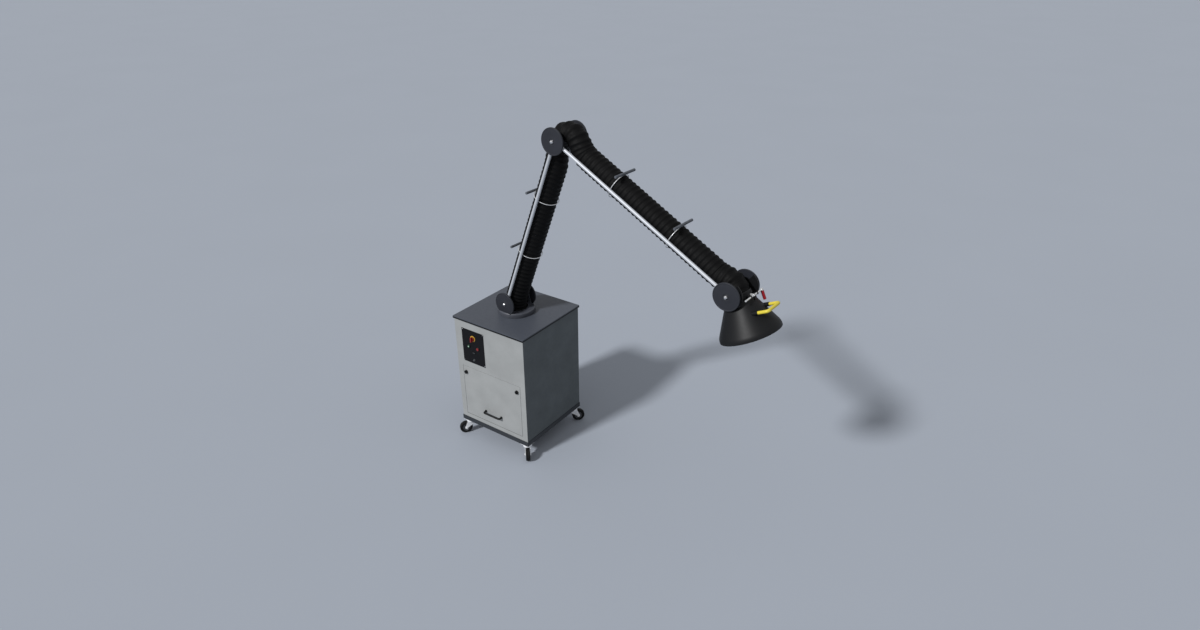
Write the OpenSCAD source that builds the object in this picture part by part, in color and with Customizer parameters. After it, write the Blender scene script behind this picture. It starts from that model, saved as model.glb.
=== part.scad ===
// Mobile fume extraction arm: a filter cabinet on casters, and a two-link hose arm with a cone hood.
// Millimetres. The origin is on the floor under the cabinet's centre, +Z is up, the door faces -Y,
// and the arm reaches towards +X.

/* [Cabinet] */
// Width of the cabinet shell
cab_w = 655; // [620:5:700]
// Depth of the cabinet shell
cab_d = 655; // [620:5:700]
// Height of the cabinet shell between plinth and lid
shell_h = 864; // [832:2:912]
// Height of the plinth
plinth_h = 38; // [30:1:50]
// How far the plinth stands out past the shell
plinth_out = 3; // [1:0.5:5]
// Thickness of the plinth's sheet
plinth_t = 3; // [2:0.5:4]
// Width of the plinth's bottom flange, which takes the casters
plinth_flange = 90; // [84:1:110]
// Height of the lid
lid_h = 18; // [14:1:30]
// How far the lid stands out past the shell
lid_out = 7; // [5:0.5:10]
// Thickness of the shell's sheet
sheet_t = 2; // [1.5:0.5:2.5]
// Width of the shell's inward flanges
fold_w = 20; // [16:1:24]

/* [Door] */
// Width of the door
door_w = 557; // [540:1:560]
// Height of the door
door_h = 437; // [420:1:440]
// Height of the door's bottom edge above the shell's bottom edge
door_up = 34.5; // [32:0.5:40]
// Gap all round the door
door_gap = 2.5; // [2:0.5:3.5]
// Depth of the door's folded edge
door_depth = 22; // [20:1:26]
// Radius of the door's rolled bottom edge, with the hinge axis at its centre
door_roll = 6; // [5:0.5:8]
// Radius of the hinge pins
hinge_pin_r = 3; // [2.5:0.5:4]
// Length of the door handle
handle_len = 170; // [140:5:200]
// How far the door handle stands proud
handle_out = 36; // [30:1:44]
// Radius of the door handle's bar
handle_r = 7.5; // [5:0.5:9]
// Height of the door handle above the door's bottom edge
handle_up = 92; // [60:1:120]
// Distance of the latches from the cabinet's middle
latch_x = 250; // [245:1:252]
// Height of the latches above the door's bottom edge
latch_up = 387; // [370:1:400]
// Length of a latch cam from its axis
cam_len = 38; // [36:1:40]

/* [Controls] */
// Width of the control panel
panel_w = 215; // [200:1:230]
// Height of the control panel
panel_h = 280; // [270:1:300]
// Thickness of the control panel
panel_t = 1.5; // [1:0.5:2]
// Distance of the control panel's middle from the cabinet's left side
panel_in = 173.5; // [167.5:1:187.5]
// Height of the control panel's middle above the shell's bottom edge
panel_up = 663; // [655:1:680]
// Radius of the push buttons
button_r = 11; // [9:0.5:12]
// Travel of the push buttons
button_travel = 3; // [2:0.5:4]
// Distance of the push buttons from the panel's middle line
button_x = 44; // [36:1:60]
// Height of the main switch above the panel's middle
switch_up = 74; // [60:1:90]
// Radius of the main switch's spindle
switch_r = 4; // [3:0.5:5]

/* [Filter and fan] */
// Side of the filter cassette
filter_w = 500; // [460:10:510]
// Height of the filter cassette
filter_h = 240; // [200:10:250]
// Number of pleats in the filter media
pleats = 24; // [12:1:30]
// Height of the pre-filter
prefilter_h = 22; // [15:1:30]
// Height of the fan deck's top above the shell's bottom edge
deck_up = 184; // [180:1:200]
// Radius of the fan inlet hole
inlet_r = 90; // [80:1:100]
// Radius of the fan wheel
fan_r = 125; // [115:1:130]
// Number of blades on the fan wheel
blades = 10; // [7:1:12]
// Height of the fan housing
scroll_h = 110; // [100:1:112]
// Radius of the fan motor
motor_r = 72; // [60:1:80]
// Radius of the motor shaft
shaft_r = 7; // [6:0.5:9]

/* [Casters] */
// Height of a caster, from the floor to its top plate's top
caster_h = 128; // [124:1:140]
// Radius of a caster wheel
wheel_r = 50; // [46:1:51]
// Width of a caster wheel
wheel_w = 32; // [28:1:36]
// Distance from the swivel axis to the wheel's axle
trail = 42; // [38:1:46]
// Distance of the swivel axes inwards from the plinth's sides
caster_in = 40; // [38.5:0.5:45]
// Side of a caster's top plate
caster_plate = 76; // [74:1:80]

/* [Turntable] */
// Radius of the turntable ring
ring_r = 140; // [136:1:148]
// Height of the turntable ring
ring_h = 36; // [34:1:40]
// Gap between the ring and the lid
ring_gap = 1; // [0.5:0.5:2]
// Radius of the ring's hose opening
ring_hole_r = 84; // [83:0.5:86]
// Height of the shoulder axis above the lid
shoulder_up = 97; // [95:1:105]

/* [Arm] */
// Turn of the arm about the cabinet's vertical axis
arm_yaw = -2.9; // [-30:0.1:30]
// Distance from the shoulder axis to the elbow axis
upper_len = 1378; // [1200:1:1500]
// Distance from the elbow axis to the hood axis
lower_len = 1453; // [1200:1:1500]
// Lean of the upper arm from upright
upper_tilt = 21.5; // [15:0.5:30]
// Direction of the lower arm, from upright
lower_tilt = 118.2; // [110:0.1:125]
// Direction of the hood's axis, from upright
hood_tilt = 154; // [145:0.5:165]
// Sideways distance of the arm tubes from the middle
tube_v = 100; // [99.5:0.5:102]
// Outer radius of the arm tubes
tube_r = 11; // [10:0.5:12]
// Wall of the arm tubes
tube_wall = 2; // [1.5:0.5:3]
// Radius of the hoops' wire
wire_r = 2.5; // [2:0.25:3]
// Radius of the cross bars
bar_r = 9; // [7:0.5:10]
// Half length of the cross bars
bar_half = 100; // [90:1:104]

/* [Joints of the arm] */
// Radius of the cover discs
disc_r = 88; // [84:1:92]
// Thickness of the cover discs
disc_t = 12; // [10:0.5:14]
// Radius of the pivot bolts
bolt_r = 6; // [5:0.5:7]
// Radius of the outer plates' heads
plate_r = 48; // [44:1:50]
// Radius of the inner lugs' heads
lug_r = 30; // [26:1:34]
// Thickness of the joint plates
plate_t = 5; // [4:0.5:5.5]
// Thickness of the friction washers
pad_t = 3; // [2:0.5:3.5]
// Distance from a joint's axis to the arm tubes' ends
tube_end = 74; // [72:1:78]

/* [Hose] */
// Radius over the hose's ribs
hose_r = 80; // [78:0.5:80.5]
// Radius in the valleys between the ribs
valley_r = 75.5; // [74:0.5:76.5]
// Radius of the hose's bore
bore_r = 73.5; // [72:0.5:74]
// Pitch of the ribs
rib_pitch = 34.6; // [25:0.1:45]
// Length of hose that bends on each side of the elbow axis
elbow_bend_len = 210; // [205:1:240]
// Length of hose that bends past the shoulder axis, and before the hood axis
end_bend_len = 150; // [130:1:180]
// How far the hose's middle line passes from the elbow axis
elbow_bulge = 54; // [30:1:56]
// Direction from the elbow axis to the hose's middle line, from upright
elbow_bulge_tilt = 55; // [40:1:65]
// How much the elbow's hose is flattened on the inside of its bend
elbow_flat = 0.4; // [0.35:0.05:0.5]

/* [Hood] */
// Radius of the hood's mouth
mouth_r = 190; // [170:1:210]
// Distance from the hood axis to the mouth
mouth_at = 275; // [260:1:300]
// Length of the hood's lip past the cone's corner
lip_len = 22; // [18:1:30]
// Radius of the collar between neck and cone
collar_r = 98; // [97:0.5:99]
// Distance from the hood axis to the collar's top
collar_at = 55; // [50:1:56]
// Height of the collar
collar_h = 25; // [22:1:28]
// Radius of the hood's neck
neck_r = 84; // [83:0.5:86]
// Thickness of the hood's wall
hood_t = 3; // [2.5:0.5:4]
// Radius of the damper's spindle
spindle_r = 5; // [4:0.5:5]
// Distance of the spindle from the hood's middle line
spindle_b = 102; // [101:0.5:104]
// Distance from the hood axis down to the spindle
spindle_a = 50; // [49:0.5:51]
// Radius of the damper's flap
flap_r = 72; // [60:1:73]
// Radius of the yellow handle's tube
grip_r = 10; // [7:0.5:11]
// Half the distance between the yellow handle's legs
grip_v = 71; // [60:1:78]
// How far the yellow handle stands from the hood's middle line
grip_out = 202; // [190:1:215]
// Distance from the hood axis down to the yellow handle
grip_a = 137; // [130:1:150]

/* [Hidden] */
$fn = 64;

// Clearances
slip = 0.05;
seat_gap = 0.3;
cut = 1;

// Colours
light_grey = [0.60, 0.62, 0.63];
side_grey = [0.33, 0.36, 0.38];
plinth_grey = [0.19, 0.20, 0.22];
disc_grey = [0.20, 0.22, 0.26];
soft_black = [0.05, 0.05, 0.06];
frame_black = [0.09, 0.09, 0.10];
zinc = [0.75, 0.76, 0.78];
tube_silver = [0.86, 0.87, 0.88];
wire_white = [0.88, 0.88, 0.88];
signal_yellow = [0.90, 0.80, 0.15];
signal_red = [0.75, 0.08, 0.08];
button_green = [0.75, 0.88, 0.78];
media_white = [0.85, 0.84, 0.80];
rubber_grey = [0.25, 0.26, 0.28];

// Heights of the cabinet
base_z = caster_h;
shell_z = base_z + plinth_h;
top_z = shell_z + shell_h;
lid_z = top_z + lid_h;
shoulder_z = lid_z + shoulder_up;
plinth_w = cab_w + 2 * plinth_out;
plinth_d = cab_d + 2 * plinth_out;
lid_w = cab_w + 2 * lid_out;
lid_d = cab_d + 2 * lid_out;
panel_x = panel_in - cab_w / 2;
front_y = -cab_d / 2;
rear_y = cab_d / 2;
in_x = cab_w / 2 - sheet_t;
in_y = cab_d / 2 - sheet_t;

// Door
door_z = shell_z + door_up;
open_x = door_w / 2 + door_gap;
open_z = door_z - door_gap;
open_h = door_h + 2 * door_gap;
hinge_y = front_y + door_roll;
hinge_z = door_z + door_roll;
hinge_head_r = door_roll - sheet_t - slip;
door_back_y = front_y + door_depth;
latch_z = door_z + latch_up;
latch_knob_r = 14;
latch_knob_out = 12;
latch_shaft_r = 6;
latch_body_r = 10;
cam_t = 3;
cam_w = 14;
cam_y = door_back_y + 1.5;

// Controls
panel_z = shell_z + panel_up;
panel_y = front_y - panel_t;
switch_z = panel_z + switch_up;
switch_plate_r = 24;
switch_plate_t = 2;
switch_room = 2;
switch_block_w = 44;
switch_block_d = 32;
knob_r = 16;
knob_t = 8;
knob_bar_w = 11;
knob_bar_len = 36;
knob_bar_out = 23;
bezel_r = button_r + 4.5;
barrel_r = button_r + 2;
bezel_t = 4;
button_out = 8;
button_len = 19;
spring_room = 12;
barrel_floor = 3;
barrel_len = button_len - button_out + button_travel + spring_room + barrel_floor;
cutout_margin = 15;
box_margin = 5;
box_depth = 90;
box_t = 1.5;
meter_z = panel_z - 46;
meter_w = 26;
meter_h = 11;
meter_out = 3;
fuse_z = panel_z - 108;
fuse_r = 7;
fuse_out = 9;

// Filter and fan
deck_z = shell_z + deck_up;
deck_front_y = -255;
filter_wall = 3;
prefilter_z = deck_z + filter_h;
slats = 12;
fan_y = -20;
scroll_z = deck_z - sheet_t - scroll_h;
scroll_r0 = fan_r + 20;
scroll_grow = 70;
scroll_end_x = scroll_r0 + scroll_grow;
duct_w = 120;
wheel_low = scroll_z + 12;
wheel_high = scroll_z + scroll_h - 12;
eye_r = inlet_r - 5;
motor_h = 62;
motor_round = 8;
motor_flange_t = 8;
motor_rim = 12;
shaft_len = 45;
grille_out = 15;
grille_t = 3;
grille_slots = 7;
grille_lean = 25;
mains_x = -230;
mains_z = shell_z + 49;
mains_half_w = 20;
mains_half_h = 15;

// Casters: the way each one trails, front left, front right, rear right, rear left
caster_x = [-1, 1, 1, -1] * (plinth_w / 2 - caster_in);
caster_y = [-1, -1, 1, 1] * (plinth_d / 2 - caster_in);
caster_turn = [235, -49, 45, 35];
plate_thick = 4.5;
plate_bottom = caster_h - plate_thick;
race_r = 30;
race_h = 4.5;
head_r = 34;
head_top = plate_bottom - race_h - seat_gap;
head_low = wheel_r * 2 + 4;
kingpin_r = 6;
leg_t = 3;
leg_in = wheel_w / 2 + 2;
axle_r = 5;
boss_r = 12;
tyre_t = 20;
hub_r = wheel_r - tyre_t;
caster_bolt_at = 28;
caster_bolt_r = 4;
hub_face_r = 12;
hub_web = 5;
tyre_round = 7;
pedal_x = -30;
pedal_z = head_low - 9;
pedal_pin_r = 3;
pedal_half = 22;
pedal_reach = 34;
pedal_lean = -12;
pedal_t = 4;

// Turntable
ring_z = lid_z + ring_gap;
ring_top = ring_z + ring_h;
ring_wall = 6;
deck_t = 8;
flange_r = 104;
flange_t = 8;
flange_bolt_pcr = 92;
flange_bolts = 6;
flange_bolt_r = 4;
bend_sides = 24;
spigot_r = bore_r * cos(180 / bend_sides) - seat_gap;
spigot_wall = 2.8;
spigot_h = 36;
end_straight = rib_pitch;
inner_floor = lid_z + flange_t + seat_gap;
inner_floor_t = 3.7;
swivel_bore_r = spigot_r + slip;
lid_hole_r = 76;
retainer_r = 84;
retainer_h = 4;
hose_start_z = inner_floor + inner_floor_t + seat_gap;

// Joint stack, measured sideways from the middle
block_out = 12.7;
lug_in = tube_v - 14;
lug_out = lug_in + plate_t;
pad_in = lug_out + seat_gap;
plate_in = pad_in + pad_t;
plate_out = plate_in + plate_t;
hub_r_disc = 25;
disc_in = plate_out + block_out + 1;
disc_out = disc_in + disc_t;
nut_r = 13;
nut_recess_r = 18;
nut_recess = 1.5;
nut_h = 14.5;
bolt_head_r = 11;
bolt_head_t = 4;
slot_in = disc_in - 1;
slot_out = disc_out + 3;
slot_r = disc_r + 1.5;
block_h = 18;
block_half = 12;
spigot_len = 38;
plug_r = tube_r - tube_wall - 0.1;
hoop_r = tube_v - tube_r - wire_r - 0.2;
bar_x = hoop_r + wire_r + seat_gap + bar_r;

// Hose
rings_per_rib = 4;
elbow_lead = 17.5;
elbow_mid_tilt = (upper_tilt + lower_tilt) / 2 + elbow_lead;
elbow_pull = 1.18;
elbow_slack = 1.05;
upper_hose_z0 = end_bend_len + slip;
upper_hose_z1 = upper_len - elbow_bend_len - slip;
lower_hose_z0 = elbow_bend_len + slip;
lower_hose_z1 = lower_len - end_bend_len - slip;

// Hood
neck_top = 20;
neck_step = 6;
neck_in_r = neck_r - 4;
spigot_end = neck_top - spigot_h + 4;
clamp_t = 2;
clamp_w = 8;
clamp_at = neck_top - clamp_w - 0.5;
collar_low = collar_at + collar_h;
collar_in_r = collar_r - 8;
corner_a = mouth_at - lip_len;
cone_angle = atan2(mouth_r - collar_r, corner_a - collar_low);
lip_round = 60;
lip_a = corner_a + lip_round * tan(cone_angle / 2);
yoke_r = disc_r + 6;
yoke_turn = 28.5;
yoke_screw_x = 16;
yoke_screw_a = collar_low - 11;
yoke_screw_r = 3;
damper_lug_in = 34;
damper_lug_t = 6;
damper_lug_half = 8;
crank_slot = 12;
crank_w = 10;
crank_len = 37;
knuckle = 7;
socket_depth = 10;
flap_drop = 15;
flap_t = 2;
lever_v = tube_v - 3;
rod_end = 100;
grip_end = 112;
sleeve_r = 9.5;
sleeve_len = grip_end - spindle_a - knuckle;
socket_r = grip_r + 3;
socket_out = grip_out - 65;
grip_bend = 16;

// Places of the arm's parts
module at_turntable() {
    rotate([0, 0, arm_yaw])
        children();
}
module at_shoulder() {
    at_turntable()
        translate([0, 0, shoulder_z])
            rotate([0, upper_tilt, 0])
                children();
}
module at_elbow() {
    at_shoulder()
        translate([0, 0, upper_len])
            rotate([0, lower_tilt - upper_tilt, 0])
                children();
}
module at_hood() {
    at_elbow()
        translate([0, 0, lower_len])
            rotate([0, hood_tilt - lower_tilt, 0])
                children();
}
module both_sides() {
    for (side = [0, 1])
        mirror([0, side, 0])
            children();
}

// A cylinder along +Y from y0 to y1
module rod_y(r, y0, y1) {
    translate([0, y0, 0])
        rotate([-90, 0, 0])
            cylinder(r = r, h = y1 - y0);
}

// A box from one corner to the other
module box_from(low, high) {
    translate(low)
        cube(high - low);
}

function arc(cx, cy, r, a0, a1, n) =
    [for (i = [0:n]) [cx + r * cos(a0 + (a1 - a0) * i / n), cy + r * sin(a0 + (a1 - a0) * i / n)]];

// Cabinet

module base_plinth() color(plinth_grey) {
    difference() {
        box_from([-plinth_w / 2, -plinth_d / 2, base_z], [plinth_w / 2, plinth_d / 2, shell_z]);
        box_from([-plinth_w / 2 + plinth_t, -plinth_d / 2 + plinth_t, base_z + plinth_t],
                 [plinth_w / 2 - plinth_t, plinth_d / 2 - plinth_t, shell_z - plinth_t]);
        box_from([-plinth_w / 2 + plinth_flange, -plinth_d / 2 + plinth_flange, base_z - cut],
                 [plinth_w / 2 - plinth_flange, plinth_d / 2 - plinth_flange, base_z + plinth_t + cut]);
        caster_bolt_places()
            translate([0, 0, base_z - cut])
                cylinder(r = caster_bolt_r + 0.1, h = plinth_t + 2 * cut, $fn = 32);
    }
}

// One sheet folded round the left side, the rear and the right side
module cabinet_wrap() color(side_grey) {
    difference() {
        box_from([-cab_w / 2, front_y + sheet_t, shell_z], [cab_w / 2, rear_y, top_z]);
        box_from([-in_x, front_y, shell_z + sheet_t], [in_x, in_y, top_z - sheet_t]);
        box_from([-in_x + fold_w, front_y, shell_z - cut], [in_x - fold_w, in_y - fold_w, top_z + cut]);
        box_from([scroll_end_x - duct_w, in_y - cut, scroll_z + sheet_t],
                 [scroll_end_x, rear_y + cut, scroll_z + scroll_h - sheet_t]);
        box_from([mains_x - mains_half_w - 1, in_y - cut, mains_z - mains_half_h - 1],
                 [mains_x + mains_half_w + 1, rear_y + cut, mains_z + mains_half_h + 1]);
    }
}

module front_panel() color(light_grey) {
    difference() {
        union() {
            box_from([-cab_w / 2, front_y, shell_z], [cab_w / 2, front_y + sheet_t, top_z]);
            box_from([-open_x - sheet_t, front_y, open_z - sheet_t],
                     [open_x + sheet_t, door_back_y, open_z + open_h + sheet_t]);
        }
        box_from([-open_x, front_y - cut, open_z], [open_x, door_back_y + cut, open_z + open_h]);
        translate([panel_x, front_y + sheet_t / 2, panel_z])
            cube([panel_w - 2 * cutout_margin, sheet_t + 2 * cut, panel_h - 2 * cutout_margin],
                 center = true);
        for (side = [-1, 1])
            translate([side * (open_x + sheet_t / 2), hinge_y, hinge_z])
                rotate([0, 90, 0])
                    cylinder(r = hinge_pin_r + slip, h = 2 * sheet_t, center = true, $fn = 32);
    }
}

module top_lid() color(side_grey) {
    difference() {
        box_from([-lid_w / 2, -lid_d / 2, top_z], [lid_w / 2, lid_d / 2, lid_z]);
        box_from([-lid_w / 2 + sheet_t, -lid_d / 2 + sheet_t, top_z + sheet_t],
                 [lid_w / 2 - sheet_t, lid_d / 2 - sheet_t, lid_z - sheet_t]);
        box_from([-in_x + fold_w, -in_y + fold_w, top_z - cut],
                 [in_x - fold_w, in_y - fold_w, top_z + sheet_t + cut]);
        translate([0, 0, top_z])
            cylinder(r = lid_hole_r, h = lid_h + cut);
        flange_bolt_places()
            translate([0, 0, lid_z - sheet_t - cut])
                cylinder(r = flange_bolt_r + 0.5, h = sheet_t + 2 * cut, $fn = 32);
    }
}

// Places of the four bolts of each caster
module caster_bolt_places() {
    for (i = [0:3])
        translate([caster_x[i], caster_y[i], 0])
            for (sx = [-1, 1])
                for (sy = [-1, 1])
                    translate([sx * caster_bolt_at, sy * caster_bolt_at, 0])
                        children();
}

module flange_bolt_places() {
    for (i = [0:flange_bolts - 1])
        rotate([0, 0, 360 / flange_bolts * (i + 0.5)])
            translate([flange_bolt_pcr, 0, 0])
                children();
}

// Switch, buttons and meters sit on this plate
module control_panel() color(soft_black) {
    difference() {
        box_from([panel_x - panel_w / 2, panel_y, panel_z - panel_h / 2],
                 [panel_x + panel_w / 2, front_y, panel_z + panel_h / 2]);
        translate([panel_x, 0, switch_z])
            rod_y(switch_r + switch_room, panel_y - cut, front_y + cut, $fn = 32);
        for (side = [-1, 1])
            translate([panel_x + side * button_x, 0, panel_z])
                rod_y(barrel_r + slip, panel_y - cut, front_y + cut, $fn = 48);
    }
}

module control_box() color(zinc) {
    x0 = panel_x - panel_w / 2 + box_margin;
    x1 = panel_x + panel_w / 2 - box_margin;
    z0 = panel_z - panel_h / 2 + box_margin;
    z1 = panel_z + panel_h / 2 - box_margin;
    y0 = front_y + sheet_t;
    difference() {
        box_from([x0, y0, z0], [x1, y0 + box_depth, z1]);
        box_from([x0 + box_t, y0 - cut, z0 + box_t], [x1 - box_t, y0 + box_depth - box_t, z1 - box_t]);
    }
}

// Switch plate and block, button barrels with their bezels, hour meter, fuse holder and mains inlet
module electrical_fittings() {
    color(signal_yellow)
        difference() {
            translate([panel_x, 0, switch_z])
                rod_y(switch_plate_r, panel_y - switch_plate_t, panel_y);
            translate([panel_x, 0, switch_z])
                rod_y(switch_r + slip, panel_y - switch_plate_t - cut, panel_y + cut, $fn = 32);
        }
    color(soft_black)
        difference() {
            translate([panel_x, front_y + switch_block_d / 2, switch_z])
                cube([switch_block_w, switch_block_d, switch_block_w], center = true);
            translate([panel_x, 0, switch_z])
                rod_y(switch_r + slip, front_y - cut, front_y + switch_block_d / 2, $fn = 32);
        }
    for (side = [-1, 1])
        color(zinc)
            translate([panel_x + side * button_x, 0, panel_z])
                difference() {
                    union() {
                        rod_y(bezel_r, panel_y - bezel_t, panel_y);
                        rod_y(barrel_r, panel_y - cut, panel_y + barrel_len);
                    }
                    rod_y(button_r + slip, panel_y - bezel_t - cut, panel_y + barrel_len - barrel_floor);
                }
    color(soft_black) {
        box_from([panel_x - meter_w / 2, panel_y - meter_out, meter_z - meter_h / 2],
                 [panel_x + meter_w / 2, panel_y, meter_z + meter_h / 2]);
        translate([panel_x, 0, fuse_z]) {
            rod_y(fuse_r + 2, panel_y - 2, panel_y, $fn = 32);
            rod_y(fuse_r, panel_y - fuse_out, panel_y - 1, $fn = 32);
        }
        mains_inlet();
    }
}

// Inlet with its flange outside, its body inside and three pins in the recess
module mains_inlet() {
    flange_out = 2.5;
    body_depth = 26;
    recess = 18;
    pin_pitch = 8;
    pin_rise = 4;
    pin_h = 4;
    translate([mains_x, rear_y, mains_z]) {
        difference() {
            union() {
                box_from([-28, 0, -22], [28, flange_out, 22]);
                box_from([-mains_half_w, -body_depth, -mains_half_h], [mains_half_w, cut, mains_half_h]);
            }
            box_from([-14, -recess, -10], [14, flange_out + cut, 10]);
        }
        for (pin = [-1:1])
            translate([pin_pitch * pin, 0, (pin == 0 ? pin_rise : 0) - 1])
                box_from([-1, -recess - cut, -pin_h / 2], [1, -4, pin_h / 2]);
    }
}

module outlet_grille() color(side_grey) {
    x0 = scroll_end_x - duct_w - grille_out;
    x1 = scroll_end_x + grille_out;
    overlap = 8;
    margin = 10;
    z0 = scroll_z - overlap;
    z1 = scroll_z + scroll_h + overlap;
    slot_pitch = (z1 - z0 - 2 * margin) / grille_slots;
    difference() {
        box_from([x0, rear_y, z0], [x1, rear_y + grille_t, z1]);
        for (i = [0:grille_slots - 1])
            translate([(x0 + x1) / 2, rear_y + grille_t / 2, z0 + margin + slot_pitch * (i + 0.5)])
                rotate([grille_lean, 0, 0])
                    cube([duct_w - 8, grille_t * 4, slot_pitch * 0.5], center = true);
    }
}

// Shelf that carries the filter, with the bulkhead in front of the fan
module fan_deck() color(zinc) {
    difference() {
        union() {
            box_from([-in_x, deck_front_y, deck_z - sheet_t], [in_x, in_y, deck_z]);
            box_from([-in_x, deck_front_y, shell_z + sheet_t], [in_x, deck_front_y + sheet_t, deck_z]);
        }
        translate([0, fan_y, deck_z - sheet_t - cut])
            cylinder(r = inlet_r, h = sheet_t + 2 * cut);
    }
}

// A folded sheet of media inside an open frame
module filter_cassette() {
    half = filter_w / 2;
    in_w = filter_w - 2 * filter_wall - 1;
    step = in_w / pleats;
    margin = 10;
    media_t = 2;
    fold = [for (i = [0:2 * pleats]) i % 2 == 0 ? margin : filter_h - margin - media_t];
    top_line = [for (i = [0:2 * pleats]) [-in_w / 2 + i * step / 2, fold[i] + media_t]];
    low_line = [for (i = [2 * pleats:-1:0]) [-in_w / 2 + i * step / 2, fold[i]]];
    color(zinc)
        difference() {
            box_from([-half, -half, deck_z], [half, half, prefilter_z]);
            box_from([-half + filter_wall, -half + filter_wall, deck_z - cut],
                     [half - filter_wall, half - filter_wall, prefilter_z + cut]);
        }
    color(media_white)
        translate([0, half - filter_wall - seat_gap, deck_z])
            rotate([90, 0, 0])
                linear_extrude(filter_w - 2 * filter_wall - 2 * seat_gap)
                    polygon(concat(top_line, low_line));
}

// Baffle plates that stop sparks above the filter
module prefilter() color(zinc) {
    half = filter_w / 2;
    margin = 15;
    bar_w = 12;
    step = (filter_w - 2 * margin) / slats;
    difference() {
        box_from([-half, -half, prefilter_z], [half, half, prefilter_z + prefilter_h]);
        for (i = [0:slats - 1])
            translate([-half + margin + step * (i + 0.5), 0, prefilter_z + prefilter_h / 2])
                cube([step - bar_w, 2 * (half - margin), prefilter_h + 2 * cut], center = true);
    }
}

// Outline of the fan's scroll, grown by a wall
module scroll_outline(wall, reach) {
    turns = 36;
    polygon([for (i = [0:turns]) let (a = 360 / turns * i, r = scroll_r0 + scroll_grow * i / turns + wall)
                 [r * cos(a), r * sin(a)]]);
    translate([scroll_end_x - duct_w - wall, 0])
        square([duct_w + 2 * wall, reach]);
}

module fan_housing() color(zinc) {
    reach = in_y - fan_y;
    difference() {
        translate([0, fan_y, scroll_z])
            linear_extrude(scroll_h)
                scroll_outline(sheet_t, reach);
        translate([0, fan_y, scroll_z + sheet_t])
            linear_extrude(scroll_h - 2 * sheet_t)
                scroll_outline(0, reach + cut);
        translate([0, fan_y, scroll_z + sheet_t])
            cylinder(r = inlet_r, h = scroll_h);
        translate([0, fan_y, scroll_z - cut])
            cylinder(r = shaft_r * 3, h = sheet_t + 2 * cut);
    }
}

module fan_motor() color(soft_black) {
    translate([0, fan_y, 0]) {
        translate([0, 0, scroll_z - motor_h])
            rotate_extrude()
                polygon(concat(
                    [[0, 0]],
                    arc(motor_r - motor_round, motor_round, motor_round, -90, 0, 6),
                    [[motor_r, motor_h - motor_flange_t],
                     [motor_r + motor_rim, motor_h - motor_flange_t],
                     [motor_r + motor_rim, motor_h],
                     [0, motor_h]]));
        translate([0, 0, scroll_z - cut])
            cylinder(r = shaft_r, h = shaft_len + cut);
    }
}

// Backplate, hub, backward-curved blades and front ring
module fan_wheel() color(zinc) {
    sweep = 45;
    root_r = fan_r * 0.48;
    tip_r = fan_r - 2;
    blade_deg = 2.2;
    steps = 6;
    back_t = 3;
    ring_t = 2.5;
    hub_h = 32;
    radii = [for (i = [0:steps]) root_r + (tip_r - root_r) * i / steps];
    outer_side = [for (i = [0:steps]) let (a = -sweep * i / steps) radii[i] * [cos(a), sin(a)]];
    inner_side = [for (i = [steps:-1:0])
        let (a = -sweep * i / steps + blade_deg) radii[i] * [cos(a), sin(a)]];
    translate([0, fan_y, 0])
        difference() {
            union() {
                translate([0, 0, wheel_low])
                    cylinder(r = fan_r, h = back_t);
                translate([0, 0, wheel_low])
                    cylinder(r1 = 22, r2 = 16, h = hub_h);
                translate([0, 0, wheel_high - ring_t])
                    difference() {
                        cylinder(r = fan_r, h = ring_t);
                        translate([0, 0, -cut])
                            cylinder(r = eye_r, h = ring_t + 2 * cut);
                    }
                for (i = [0:blades - 1])
                    rotate([0, 0, 360 / blades * i])
                        translate([0, 0, wheel_low + 1])
                            linear_extrude(wheel_high - wheel_low - 2)
                                polygon(concat(outer_side, inner_side));
            }
            translate([0, 0, wheel_low - cut])
                cylinder(r = shaft_r + slip, h = hub_h + 2 * cut);
        }
}

module swivel_flange() color(zinc) {
    difference() {
        translate([0, 0, lid_z])
            rotate_extrude()
                polygon([[swivel_bore_r, 0], [flange_r, 0], [flange_r, flange_t - 2],
                         [flange_r - 2, flange_t], [swivel_bore_r, flange_t]]);
        flange_bolt_places()
            translate([0, 0, lid_z - cut])
                cylinder(r = flange_bolt_r + slip, h = flange_t - 1 + cut, $fn = 32);
    }
}

// Flange screws, caster bolts with their nuts, and the door's hinge pins
module cabinet_fasteners() color(zinc) {
    flange_bolt_places()
        translate([0, 0, lid_z - sheet_t]) {
            translate([0, 0, -5])
                cylinder(r = 6.5, h = 5, $fn = 6);
            translate([0, 0, -cut])
                cylinder(r = flange_bolt_r, h = sheet_t + flange_t - 2 + cut, $fn = 32);
        }
    caster_bolt_places()
        translate([0, 0, plate_bottom]) {
            translate([0, 0, -4])
                cylinder(r = 6, h = 4, $fn = 6);
            translate([0, 0, -cut])
                cylinder(r = caster_bolt_r, h = plate_thick + plinth_t + 6 + cut, $fn = 32);
            translate([0, 0, plate_thick + plinth_t])
                cylinder(r = 6, h = 4, $fn = 6);
        }
    for (side = [-1, 1])
        translate([side * (open_x + sheet_t), hinge_y, hinge_z])
            rotate([0, side * 90, 0]) {
                cylinder(r = hinge_head_r, h = 2, $fn = 32);
                translate([0, 0, -12])
                    cylinder(r = hinge_pin_r, h = 12 + cut, $fn = 32);
            }
}

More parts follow.
